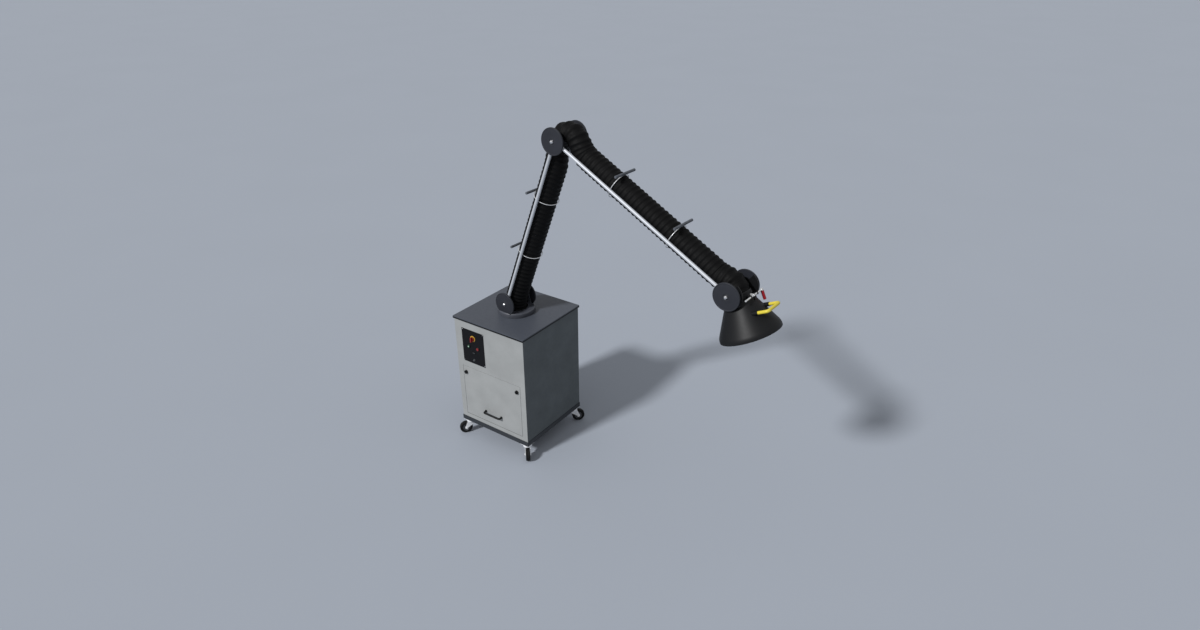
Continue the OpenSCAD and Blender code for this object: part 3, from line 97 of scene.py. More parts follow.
class Shape:
    """Points and faces that are gathered for one piece."""

    def __init__(self) -> None:
        """Starts with nothing."""
        self.verts: list[Vector] = []
        self.faces: list[list[int]] = []

    def box(self, low: Point, high: Point, place: Matrix) -> None:
        """Adds a box.

        Args:
            low: Its lowest corner.
            high: Its highest corner.
            place: Where it goes.
        """
        start = len(self.verts)
        (left, near, below), (right, far, above) = low, high
        for z in (below, above):
            for x, y in ((left, near), (right, near), (right, far), (left, far)):
                self.verts.append(place @ Vector((x, y, z)))
        for quad in ((3, 2, 1, 0), (4, 5, 6, 7), (0, 1, 5, 4), (1, 2, 6, 5), (2, 3, 7, 6), (3, 0, 4, 7)):
            self.faces.append([start + i for i in quad])

    def revolve(self, profile: Sequence[Pair], place: Matrix, sides: int) -> None:
        """Adds a closed profile of (radius, height) turned round the Z axis.

        Args:
            profile: Its points, clockwise as seen with the axis on the left.
            place: Where the turned shape goes.
            sides: How many steps go round.
        """
        start, n = len(self.verts), len(profile)
        for k in range(sides):
            a = 2 * math.pi * k / sides
            for r, h in reversed(profile):
                self.verts.append(place @ Vector((r * math.cos(a), r * math.sin(a), h)))
        for k in range(sides):
            here, there = start + k * n, start + (k + 1) % sides * n
            for i in range(n):
                j = (i + 1) % n
                self.faces.append([here + i, there + i, there + j, here + j])

    def plate(self, outline: Sequence[Pair], low: float, high: float, place: Matrix) -> None:
        """Adds a flat plate with a given outline.

        Args:
            outline: Points, anticlockwise.
            low: Height of its back.
            high: Height of its front.
            place: Where the plate goes.
        """
        start, n = len(self.verts), len(outline)
        for z in (low, high):
            self.verts.extend(place @ Vector((x, y, z)) for x, y in outline)
        self.faces.append(list(reversed(range(start, start + n))))
        self.faces.append(list(range(start + n, start + 2 * n)))
        self.wall(start, start + n, n)

    def wall(self, row: int, other: int, n: int, flip: bool = False) -> None:
        """Joins two closed rows of points.

        Args:
            row: Number of the first row's first point.
            other: Number of the other row's first point.
            n: How many points are in a row.
            flip: Whether the faces look the other way.
        """
        for i in range(n):
            j = (i + 1) % n
            quad = [row + i, row + j, other + j, other + i]
            self.faces.append(quad[::-1] if flip else quad)


class Facing(Enum):
    """Turns that point a shape's own Z axis along an axis of the object."""

    UP = Matrix.Identity(4)
    FRONT = Matrix.Rotation(math.pi / 2, 4, "X")
    REAR = Matrix.Rotation(-math.pi / 2, 4, "X")

    def at(self, *place: float) -> Matrix:
        """The turn, moved to a place."""
        return Matrix.Translation(place) @ self.value


class Shader:
    """One material's node tree, with the few nodes that this object's finishes use."""

    def __init__(self, name: str) -> None:
        """Starts a material with a principled surface.

        Args:
            name: The material's name.
        """
        self.material = bpy.data.materials.new(name)
        self.material.use_nodes = True
        self.tree = self.material.node_tree
        self.surface = self.tree.nodes["Principled BSDF"]
        self.coords = self.tree.nodes.new("ShaderNodeTexCoord")

    def node(self, kind: str, feeds: dict[str | int, object], operation: str = "") -> bpy.types.Node:
        """Adds a node.

        Args:
            kind: Its type, without ShaderNode.
            feeds: What goes into its sockets, each another node's output or a value.
            operation: What it does, if it is a Math node.

        Returns:
            The node.
        """
        node = self.tree.nodes.new(f"ShaderNode{kind}")
        if operation:
            node.operation = operation
        for key, feed in feeds.items():
            if isinstance(feed, Socket):
                self.tree.links.new(feed, node.inputs[key])
            else:
                node.inputs[key].default_value = feed
        return node

    def noise(self, scale: float, detail: float, stretch: Point = (1, 1, 1)) -> Socket:
        """Noise in the piece's own space.

        Args:
            scale: Grains in a metre.
            detail: Octaves.
            stretch: Scale along each axis.

        Returns:
            The noise's value.
        """
        mapping = self.node("Mapping", {"Vector": self.coords.outputs["Object"], "Scale": stretch})
        feeds = {"Vector": mapping.outputs["Vector"], "Scale": scale, "Detail": detail}
        return self.node("TexNoise", feeds).outputs["Fac"]

    def cells(self, scale: float) -> Socket:
        """Patches of crystals in the piece's own space, scale of them in a metre."""
        feeds = {"Vector": self.coords.outputs["Object"], "Scale": scale}
        return self.node("TexVoronoi", feeds).outputs["Color"]

    def weave(self, pitch: float) -> Socket:
        """Crossing threads along and round a hose, from its UV map in metres.

        Args:
            pitch: Distance from thread to thread.

        Returns:
            The threads' height.
        """
        split = self.node("SeparateXYZ", {"Vector": self.coords.outputs["UV"]})
        waves = {}
        for row, axis in enumerate("XY"):
            angle = self.node("Math", {0: split.outputs[axis], 1: 2 * math.pi / pitch}, "MULTIPLY")
            waves[row] = self.node("Math", {0: angle.outputs[0]}, "SINE").outputs[0]
        return self.node("Math", waves, "MULTIPLY").outputs[0]

    def sum(self, a: Socket, b: Socket, share: float) -> Socket:
        """One value plus a share of another."""
        return self.node("Math", {0: b, 1: share, 2: a}, "MULTIPLY_ADD").outputs["Value"]

    def join(self, source: Socket, socket: str) -> None:
        """Joins a node's output to a socket of the surface."""
        self.tree.links.new(source, self.surface.inputs[socket])

    def tint(
        self, source: Socket, colour: Colour, low: float, high: float = 1.0, spread: Pair = (0.3, 0.7)
    ) -> None:
        """Colours the surface by a value.

        Args:
            source: The value.
            colour: The colour.
            low: What it is multiplied by where the value is low.
            high: What it is multiplied by where the value is high.
            spread: The low and the high value.
        """
        ramp = self.node("ValToRGB", {"Fac": source})
        for stop, place, share in zip(ramp.color_ramp.elements, spread, (low, high)):
            stop.position = place
            stop.color = (*(min(1.0, c * share) for c in colour), 1)
        self.join(ramp.outputs["Color"], "Base Color")

    def rough(self, source: Socket, level: float, below: float, above: float) -> None:
        """Makes the surface rough: level - below where a value is 0.3, level + above where it is 0.7."""
        span = {"From Min": 0.3, "From Max": 0.7, "To Min": level - below, "To Max": level + above}
        self.join(self.node("MapRange", {"Value": source, **span}).outputs["Result"], "Roughness")

    def bump(self, height: Socket, depth: float, strength: float) -> None:
        """Gives the surface relief, from a height from 0 to 1 and a depth in metres."""
        relief = self.node("Bump", {"Height": height, "Distance": depth, "Strength": strength})
        self.join(relief.outputs["Normal"], "Normal")

    def constant(self, **values: float) -> None:
        """Sets sockets of the surface, named with _ for a space."""
        for key, value in values.items():
            self.surface.inputs[key.replace("_", " ")].default_value = value


@dataclass(frozen=True)
class Finish:
    """What every finish has. Its kinds add themselves to a material with their paint method."""

    colour: Colour
    roughness: float = 0.45


@dataclass(frozen=True)
class PowderCoat(Finish):
    """Baked paint on sheet metal, with a fine orange peel."""

    roughness: float = 0.42
    drift: float = 0.05
    gloss: float = 0.4
    patch: float = 2.3

    def paint(self, shader: Shader) -> None:
        """Adds the paint to a material.

        Args:
            shader: The material's nodes.
        """
        shader.tint(shader.noise(self.patch, 5), self.colour, 1 - self.drift, 1 + self.drift)
        shader.rough(shader.noise(38, 4), self.roughness, 0.05, 0.06)
        shader.bump(shader.sum(shader.noise(850, 2), shader.noise(160, 2), 0.6), 0.00012, 0.6)
        shader.constant(Specular_IOR_Level=self.gloss)


@dataclass(frozen=True)
class ZincPlate(Finish):
    """Zinc-plated or galvanised steel with faint crystal patches."""

    roughness: float = 0.34
    patch: float = 90.0
    metallic: float = 0.9

    def paint(self, shader: Shader) -> None:
        """Adds the plating to a material.

        Args:
            shader: The material's nodes.
        """
        shader.tint(shader.cells(self.patch), self.colour, 0.86, spread=(0.1, 0.9))
        shader.rough(shader.noise(60, 4), self.roughness, 0.06, 0.1)
        shader.bump(shader.noise(420, 3), 0.00008, 0.5)
        shader.constant(Metallic=self.metallic)


@dataclass(frozen=True)
class Anodised(Finish):
    """Satin metal drawn along one direction, such as an anodised tube or polished wire."""

    roughness: float = 0.3
    metallic: float = 0.85

    def paint(self, shader: Shader) -> None:
        """Adds the metal to a material.

        Args:
            shader: The material's nodes.
        """
        shader.tint(shader.noise(30, 5), self.colour, 0.93)
        shader.rough(shader.noise(700, 2, (1, 1, 0.05)), self.roughness, 0.05, 0.06)
        shader.bump(shader.noise(900, 2, (1, 1, 0.04)), 0.00004, 0.5)
        shader.constant(Metallic=self.metallic)


@dataclass(frozen=True)
class MouldedPlastic(Finish):
    """Moulded plastic with a fine grain."""

    grain: float = 700.0
    depth: float = 0.00012
    coat: float = 0.0
    gloss: float = 0.5
    spread: float = 0.06

    def paint(self, shader: Shader) -> None:
        """Adds the plastic to a material.

        Args:
            shader: The material's nodes.
        """
        shader.tint(shader.noise(9, 4), self.colour, 0.9, 1.1)
        shader.rough(shader.noise(50, 4), self.roughness, self.spread, self.spread)
        shader.bump(shader.noise(self.grain, 2), self.depth, 0.7)
        shader.constant(Coat_Weight=self.coat, Coat_Roughness=0.12, Specular_IOR_Level=self.gloss)


@dataclass(frozen=True)
class SmoothPlastic(MouldedPlastic):
    """Moulded plastic with hardly any grain."""

    roughness: float = 0.3
    grain: float = 900.0
    depth: float = 0.00002


@dataclass(frozen=True)
class CoatedFabric(Finish):
    """Plastic-coated cloth of the hose, with its threads just showing."""

    roughness: float = 0.62
    thread: float = 0.0016

    def paint(self, shader: Shader) -> None:
        """Adds the cloth to a material.

        Args:
            shader: The material's nodes.
        """
        shader.tint(shader.noise(14, 5), self.colour, 0.75, 1.3)
        shader.rough(shader.noise(70, 4), self.roughness, 0.08, 0.1)
        shader.bump(shader.sum(shader.noise(55, 3), shader.weave(self.thread), 0.12), 0.0012, 0.45)
        shader.constant(Specular_IOR_Level=0.12)


@dataclass(frozen=True)
class SoftRubber(Finish):
    """Matte rubber of a tyre or a sleeve."""

    roughness: float = 0.68

    def paint(self, shader: Shader) -> None:
        """Adds the rubber to a material.

        Args:
            shader: The material's nodes.
        """
        shader.tint(shader.noise(45, 5), self.colour, 0.8, 1.25)
        shader.rough(shader.noise(90, 4), self.roughness, 0.06, 0.1)
        shader.bump(shader.noise(1200, 2), 0.0001, 0.6)
        shader.constant(Specular_IOR_Level=0.25)


@dataclass(frozen=True)
class FilterPaper(Finish):
    """Fibrous filter media."""

    roughness: float = 0.92

    def paint(self, shader: Shader) -> None:
        """Adds the paper to a material.

        Args:
            shader: The material's nodes.
        """
        shader.tint(shader.noise(320, 6), self.colour, 0.85)
        shader.bump(shader.noise(900, 4), 0.0004, 0.7)
        shader.constant(Roughness=self.roughness)


class Look(Enum):
    """Every finish of the object, under its material's name."""

    FRONT_PAINT = PowderCoat(srgb(0.585, 0.593, 0.592), roughness=0.5, drift=0.07, patch=7.0)
    DARK_PAINT = PowderCoat(srgb(0.276, 0.293, 0.327), roughness=0.44, drift=0.04)
    SIDE_PAINT = PowderCoat(srgb(0.3, 0.324, 0.334), roughness=0.5, drift=0.13, patch=7.0)
    PLINTH_PAINT = PowderCoat(srgb(0.165, 0.178, 0.196), roughness=0.46)
    PANEL_BLACK = PowderCoat(srgb(0.055, 0.057, 0.07), roughness=0.6, gloss=0.15)
    FRAME_PAINT = PowderCoat(srgb(0.075, 0.078, 0.085))
    SIGNAL_YELLOW = PowderCoat(srgb(0.83, 0.76, 0.25))
    PLATE_YELLOW = PowderCoat(srgb(0.76, 0.6, 0.2), roughness=0.45)
    PEDAL_RED = PowderCoat(srgb(0.55, 0.05, 0.07), roughness=0.36)
    ZINC = ZincPlate((0.52, 0.53, 0.55))
    CASTER_ZINC = ZincPlate(srgb(0.93, 0.935, 0.945), roughness=0.36, patch=260, metallic=0.12)
    POLISHED_STEEL = Anodised((0.8, 0.8, 0.81), roughness=0.16, metallic=1.0)
    TUBE_SILVER = Anodised(srgb(0.755, 0.77, 0.795), roughness=0.46, metallic=0.2)
    WIRE_STEEL = Anodised(srgb(0.88, 0.885, 0.89), metallic=0.45)
    DISC_PLASTIC = MouldedPlastic(srgb(0.155, 0.163, 0.188), roughness=0.52, gloss=0.3)
    RING_PLASTIC = MouldedPlastic(srgb(0.27, 0.28, 0.31), roughness=0.4)
    BLACK_PLASTIC = MouldedPlastic(srgb(0.03, 0.031, 0.035), roughness=0.42, gloss=0.3)
    GRIP_RED = MouldedPlastic(srgb(0.56, 0.03, 0.1), roughness=0.32, grain=500, depth=0.0002)
    WHEEL_GREY = MouldedPlastic(srgb(0.27, 0.28, 0.29))
    HUB_GREY = MouldedPlastic(srgb(0.34, 0.35, 0.37))
    HOOD_PLASTIC = SmoothPlastic(srgb(0.067, 0.07, 0.078), roughness=0.5, gloss=0.25, spread=0.012)
    BUTTON_RED = SmoothPlastic(srgb(0.47, 0.08, 0.09), coat=0.2)
    BUTTON_GREEN = SmoothPlastic(srgb(0.05, 0.27, 0.16))
    LAMP_WHITE = SmoothPlastic(srgb(0.7, 0.74, 0.71))
    BAR_RUBBER = SoftRubber(srgb(0.33, 0.345, 0.37))
    TYRE_RUBBER = SoftRubber(srgb(0.03, 0.033, 0.038))
    HOSE_CLOTH = CoatedFabric(srgb(0.034, 0.034, 0.037))
    FILTER_MEDIA = FilterPaper(srgb(0.86, 0.85, 0.8))

    @cache
    def material(self) -> bpy.types.Material:
        """Builds the material, once.

        Returns:
            The material.
        """
        shader = Shader(self.name.lower())
        self.value.paint(shader)
        return shader.material


def soften(item: bpy.types.Object, width: float) -> None:
    """Rounds an object's sharp edges.

    Args:
        item: The object.
        width: Width of the rounding in metres.
    """
    bevel = item.modifiers.new("edges", "BEVEL")
    bevel.width = width
    bevel.segments = 2
    bevel.limit_method = "ANGLE"
    bevel.angle_limit = SHARP
    bevel.harden_normals = True


class Piece:
    """A new mesh piece."""

    def __init__(self, name: str, shape: Shape, look: Look, sharp: float = 35.0) -> None:
        """Makes the mesh and its object.

        Args:
            name: The piece's name.
            shape: Its points in metres, and its faces.
            look: Its finish.
            sharp: Edges that bend more than this many degrees stay sharp.
        """
        self.mesh = bpy.data.meshes.new(name)
        self.mesh.from_pydata([tuple(v) for v in shape.verts], [], shape.faces)
        self.mesh.validate()
        self.mesh.polygons.foreach_set("use_smooth", [True] * len(self.mesh.polygons))
        self.mesh.set_sharp_from_angle(angle=math.radians(sharp))
        self.mesh.materials.append(look.material())
        self.object = bpy.data.objects.new(name, self.mesh)
        bpy.context.scene.collection.objects.link(self.object)

    def rides(self, body: str, slot: str, *nodes: str) -> None:
        """Fixes the piece to a body, and names its slot and the CAD nodes that it stands for."""
        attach(self.object, body)
        self.named(slot, *nodes)

    def named(self, slot: str, *nodes: str) -> None:
        """Names what the piece stands for.

        Args:
            slot: The name of a material slot, which is only logged.
            *nodes: The CAD nodes that it replaces.
        """
        log.info("piece %s in %s", self.object.name, slot)
        if nodes:
            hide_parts(*nodes)


def dress(look: Look, *nodes: str, edge: float = 0.0) -> None:
    """Gives CAD nodes a finish, and rounds their sharp edges a little.

    Args:
        look: The finish.
        *nodes: The nodes' names.
        edge: Width of the rounding in metres, or 0 for none.
    """
    for name in nodes:
        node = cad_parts[name]
        node.data.materials.clear()
        node.data.materials.append(look.material())
        if edge:
            node.modifiers.new("weld", "WELD").merge_threshold = WELD
            flat = node.modifiers.new("flat", "DECIMATE")
            flat.decimate_type = "DISSOLVE"
            flat.angle_limit = FLAT
            soften(node, edge)
    log.info("dressed %s", ", ".join(nodes))


@dataclass(frozen=True)
class ArmPlane:
    """The upright plane that the arm lies in, and the places of its joints."""

    yaw: float = math.radians(-2.9)
    lid_z: float = 1.048
    shoulder_up: float = 0.097
    upper_len: float = 1.378
    lower_len: float = 1.453
    upper_tilt: float = math.radians(21.5)
    lower_tilt: float = math.radians(118.2)
    hood_tilt: float = math.radians(154)

    @staticmethod
    def direction(tilt: float) -> Vector:
        """The (across, up) direction that leans by a tilt from upright."""
        return Vector((math.sin(tilt), math.cos(tilt)))

    @property
    def shoulder(self) -> Vector:
        """The shoulder axis as (across, up)."""
        return Vector((0, self.lid_z + self.shoulder_up))

    @property
    def elbow(self) -> Vector:
        """The elbow axis as (across, up)."""
        return self.shoulder + self.upper_len * self.direction(self.upper_tilt)

    @property
    def hood(self) -> Vector:
        """The hood axis as (across, up)."""
        return self.elbow + self.lower_len * self.direction(self.lower_tilt)

    def place(self, origin: Vector, tilt: float) -> Matrix:
        """A frame at a point (across, up) of the plane, with Z along a tilt and Y across it."""
        move = Matrix.Rotation(self.yaw, 4, "Z") @ Matrix.Translation((origin[0], 0, origin[1]))
        return move @ Matrix.Rotation(tilt, 4, "Y")

    def world(self, point: Vector) -> Vector:
        """A point (across, up) of the plane as a point of the object."""
        return Matrix.Rotation(self.yaw, 4, "Z") @ Vector((point[0], 0, point[1]))


PLANE = ArmPlane()


@dataclass
class Hose:
    """The ribbed hose, in three bends and two straight lengths."""

    rib_r: float = 0.080
    valley_r: float = 0.0752
    bore_r: float = 0.0735
    pitch: float = 0.0346
    sides: int = 72
    rings: int = 10
    steps: int = 200
    bend_len: float = 0.150
    elbow_len: float = 0.210
    bulge: float = 0.054
    bulge_tilt: float = math.radians(55)
    elbow_tilt: float = math.radians(87.35)
    elbow_pull: float = 1.18
    elbow_flat: float = 0.4
    start_z: float = 1.0603
    neck_top: float = 0.020
    gap: float = 0.0003
    slip: float = 0.00005
    sag_power: float = 1.5
    give: float = 3.2
    give_most: float = 0.6
    crease: float = 0.0011
    folds_round: float = 2.6
    folds_along: float = 26.0

    def build(self) -> None:
        """Makes all the lengths."""
        up, hood_way = PLANE.direction(0.0), PLANE.direction(PLANE.hood_tilt)
        upper_way, lower_way = PLANE.direction(PLANE.upper_tilt), PLANE.direction(PLANE.lower_tilt)
        ring = Vector((0, self.start_z))
        upper_a = PLANE.shoulder + self.bend_len * upper_way
        upper_b = PLANE.elbow - self.elbow_len * upper_way
        lower_a = PLANE.elbow + self.elbow_len * lower_way
        lower_b = PLANE.hood - self.bend_len * lower_way
        neck = PLANE.hood + (self.neck_top - self.gap) * hood_way
        leave = ring + self.pitch * up
        meet = neck - self.pitch * hood_way
        middle = PLANE.elbow + self.bulge * PLANE.direction(self.bulge_tilt)
        over = PLANE.direction(self.elbow_tilt)
        shoulder = self.line(ring, leave) + self.curve(leave, up, upper_a, upper_way)[1:]
        elbow = self.curve(upper_b, upper_way, middle, over, self.elbow_pull)
        elbow += self.curve(middle, over, lower_a, lower_way, self.elbow_pull)[1:]
        hood = self.curve(lower_b, lower_way, meet, hood_way) + self.line(meet, neck)[1:]
        upper = self.line(upper_a + self.slip * upper_way, upper_b - self.slip * upper_way)
        lower = self.line(lower_a + self.slip * lower_way, lower_b - self.slip * lower_way)
        self.bend("shoulder", shoulder, (0.05, 0.02))
        self.length("hose_upper", upper).rides("upper_arm", "hose_fabric", "upper_hose")
        self.bend("elbow", elbow, (0.075, 0.075), self.elbow_flat)
        self.length("hose_lower", lower).rides("lower_arm", "hose_fabric", "lower_hose")
        self.bend("hood", hood, (0.026, 0.06))

    def line(self, start: Vector, end: Vector) -> list[Vector]:
        """Points on a straight line."""
        return [start.lerp(end, i / self.steps) for i in range(self.steps + 1)]

    def curve(
        self, start: Vector, leave: Vector, end: Vector, arrive: Vector, ease: float = 1.0
    ) -> list[Vector]:
        """Points on a curve with given end directions.

        Args:
            start: First point.
            leave: Direction there.
            end: Last point.
            arrive: Direction there.
            ease: How strongly the ends hold their directions.

        Returns:
            The points.
        """
        pull = (end - start).length * ease
        points = []
        for i in range(self.steps + 1):
            t = i / self.steps
            points.append(
                start * (2 * t**3 - 3 * t**2 + 1)
                + leave * pull * (t**3 - 2 * t**2 + t)
                + end * (-2 * t**3 + 3 * t**2)
                + arrive * pull * (t**3 - t**2)
            )
        return points

    def bend(
        self, joint: str, path: list[Vector], stiff: Pair, flat: float = 0.0
    ) -> None:
        """Makes the curved length at a joint.

        Args:
            joint: The joint's name.
            path: Its centre line in the arm's plane.
            stiff: Distances along the chord from each end, in metres; the two points found with them are
                not used.
            flat: How much it is flattened on the inside of the bend.
        """
        piece = self.length(f"hose_{joint}", path, flat)
        chord = (path[-1] - path[0]).normalized()
        start = PLANE.world(path[0] + stiff[0] * chord)
        end = PLANE.world(path[-1] - stiff[1] * chord)
        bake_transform(piece.object)
        piece.named("hose_fabric", f"{joint}_bend")

    def length(self, name: str, path: list[Vector], flat: float = 0.0) -> Piece:
        """Makes one length of hose with whole ribs.

        Args:
            name: The piece's name.
            path: Its centre line in the arm's plane.
            flat: How much it is flattened on the inside of its bend.

        Returns:
            The piece.
        """
        along = [0.0]
        for a, b in zip(path, path[1:]):
            along.append(along[-1] + (b - a).length)
        total = along[-1]
        ribs = max(1, round(total / self.pitch))
        count = ribs * self.rings
        places, ways = self.stations(path, along, count)
        squeeze = [flat * math.sin(math.pi * i / count) for i in range(count + 1)]
        shape = Shape()
        for i in range(count + 1):
            curl = 0.0
            if 0 < i < count:
                ease = min(1.0, i / self.rings, (count - i) / self.rings)
                cross = ways[i - 1][0] * ways[i + 1][1] - ways[i - 1][1] * ways[i + 1][0]
                curl = ease * cross / (2 * total / count)
            radii = [self.radius(i, count, k, total * i / count, curl) for k in range(self.sides)]
            self.ring(shape, places[i], ways[i], radii, squeeze[i])
        outer, step = len(shape.verts), self.rings // 2
        for i in range(0, count + 1, step):
            self.ring(shape, places[i], ways[i], [self.bore_r] * self.sides, squeeze[i])
        inner = len(shape.verts) - self.sides
        for row in range(0, outer - self.sides, self.sides):
            shape.wall(row, row + self.sides, self.sides)
        for row in range(outer, inner, self.sides):
            shape.wall(row, row + self.sides, self.sides, flip=True)
        shape.wall(0, outer, self.sides, flip=True)
        shape.wall(count * self.sides, inner, self.sides)
        piece = Piece(name, shape, Look.HOSE_CLOTH, 60)
        self.unwrap(piece.mesh, total, count, outer)
        log.info("%s: %.3f m with %d ribs", name, total, ribs)
        return piece

    @staticmethod
    def stations(path: list[Vector], along: list[float], count: int) -> tuple[list[Vector], list[Vector]]:
        """Even places along a centre line.

        Args:
            path: The centre line.
            along: The distance along it at each of its points.
            count: How many steps the places make.

        Returns:
            The places and the centre line's directions there.
        """
        places, ways, seat = [], [], 0
        for i in range(count + 1):
            s = along[-1] * i / count
            while seat < len(along) - 2 and along[seat + 1] < s:
                seat += 1
            share = (s - along[seat]) / max(1e-9, along[seat + 1] - along[seat])
            places.append(path[seat].lerp(path[seat + 1], min(1.0, share)))
            low, high = max(0, seat - 3), min(len(path) - 1, seat + 4)
            ways.append((path[high] - path[low]).normalized())
        ways[0] = (4 * path[1] - 3 * path[0] - path[2]).normalized()
        ways[-1] = (3 * path[-1] - 4 * path[-2] + path[-3]).normalized()
        return places, ways

    @staticmethod
    def ring(shape: Shape, centre: Vector, way: Vector, radii: list[float], flat: float) -> None:
        """Adds the points round one place of the hose.

        Args:
            shape: What they are added to.
            centre: The centre line's place.
            way: The centre line's direction.
            radii: The skin's radius at each point.
            flat: How much the inner side is pressed in.
        """
        turn = Matrix.Rotation(PLANE.yaw, 4, "Z")
        for k, radius in enumerate(radii):
            angle = 2 * math.pi * k / len(radii)
            across = radius * math.cos(angle) * (1 - flat if math.cos(angle) > 0 else 1)
            place = (centre[0] + across * way[1], radius * math.sin(angle), centre[1] - across * way[0])
            shape.verts.append(turn @ Vector(place))

    def radius(self, i: int, count: int, k: int, s: float, curl: float) -> float:
        """The skin's radius, with a wire that winds round it and cloth that sags between.

        Args:
            i: Number of the ring.
            count: Number of the last ring.
            k: Number of the point in the ring.
            s: The ring's distance along the hose.
            curl: The centre line's curvature there.

        Returns:
            The radius.
        """
        angle = 2 * math.pi * k / self.sides
        wound = (i / self.rings + angle / (2 * math.pi)) % 1.0
        ridge = (0.5 - 0.5 * math.cos(2 * math.pi * wound)) ** self.sag_power
        give = self.give * curl * self.rib_r * math.cos(angle) / 3
        slack = 1.0 + max(-self.give_most, min(self.give_most, give))
        folds = self.folds_round
        spot = Vector((math.cos(angle) * folds, math.sin(angle) * folds, s * self.folds_along))
        crease = self.crease * noise.noise(spot) * (1 - ridge) * (0 if i in (0, count) else 1)
        depth = (self.rib_r - self.valley_r) * slack
        return min(self.rib_r, self.rib_r - depth * (1 - ridge) + crease)

    def unwrap(self, mesh: bpy.types.Mesh, total: float, count: int, outer: int) -> None:
        """Lays the skin flat in metres, for the cloth's threads.

        Args:
            mesh: The hose's mesh.
            total: Its length.
            count: Its number of steps.
            outer: How many points are on the outer skin.
        """
        layer = mesh.uv_layers.new(name="UVMap")
        round_len = 2 * math.pi * self.rib_r
        for face in mesh.polygons:
            seam = any(k % self.sides == self.sides - 1 for k in face.vertices)
            for i in face.loop_indices:
                v = mesh.loops[i].vertex_index
                k = v % self.sides
                row = v // self.sides if v < outer else (v - outer) // self.sides * (self.rings // 2)
                u = (self.sides if seam and k == 0 else k) / self.sides
                layer.data[i].uv = (u * round_len, total * row / count)


@dataclass
class JointCovers:
    """The moulded cover discs on both sides of the arm's three joints."""

    inner: float = 0.113
    outer: float = 0.125
    radius: float = 0.088
    plate: float = 0.0993
    hub_r: float = 0.025
    bore_r: float = 0.00605
    recess_r: float = 0.018
    recess: float = 0.0015

    def profile(self) -> list[Pair]:
        """The section of a disc.

        Returns:
            Its points as (radius, distance from the arm's middle).
        """
        rim = self.outer
        points = [(self.bore_r, rim - self.recess), (self.recess_r, rim - self.recess)]
        points += [(self.recess_r + self.recess, rim - 0.0003), (self.recess_r + 0.003, rim)]
        points += [(self.recess_r + 0.006, rim), (self.recess_r + 0.009, rim - 0.0006)]
        points += [(0.05, rim - 0.0009), (0.0765, rim - 0.0009), (0.0785, rim - 0.0013)]
        points += [(0.0798, rim - 0.0013), (0.0812, rim - 0.0002), (0.0822, rim)]
        points += arc(self.radius - 0.003, rim - 0.003, 0.003, range(90, -1, -15))
        points += [(self.radius, self.inner + 0.001), (self.radius - 0.001, self.inner)]
        points += [(self.hub_r, self.inner), (self.hub_r, self.plate), (self.bore_r, self.plate)]
        return points

    def build(self) -> None:
        """Makes the discs of all three joints."""
        joints = (
            ("shoulder", PLANE.shoulder, PLANE.upper_tilt, "turntable"),
            ("elbow", PLANE.elbow, PLANE.lower_tilt, "upper_arm"),
            ("hood", PLANE.hood, PLANE.hood_tilt, "hood"),
        )
        for name, origin, tilt, body in joints:
            shape = Shape()
            for facing in (Facing.FRONT, Facing.REAR):
                shape.revolve(self.profile(), PLANE.place(origin, tilt) @ facing.value, 128)
            piece = Piece(f"{name}_cover_discs", shape, Look.DISC_PLASTIC, 40)
            piece.rides(body, "disc_plastic", f"{name}_discs")


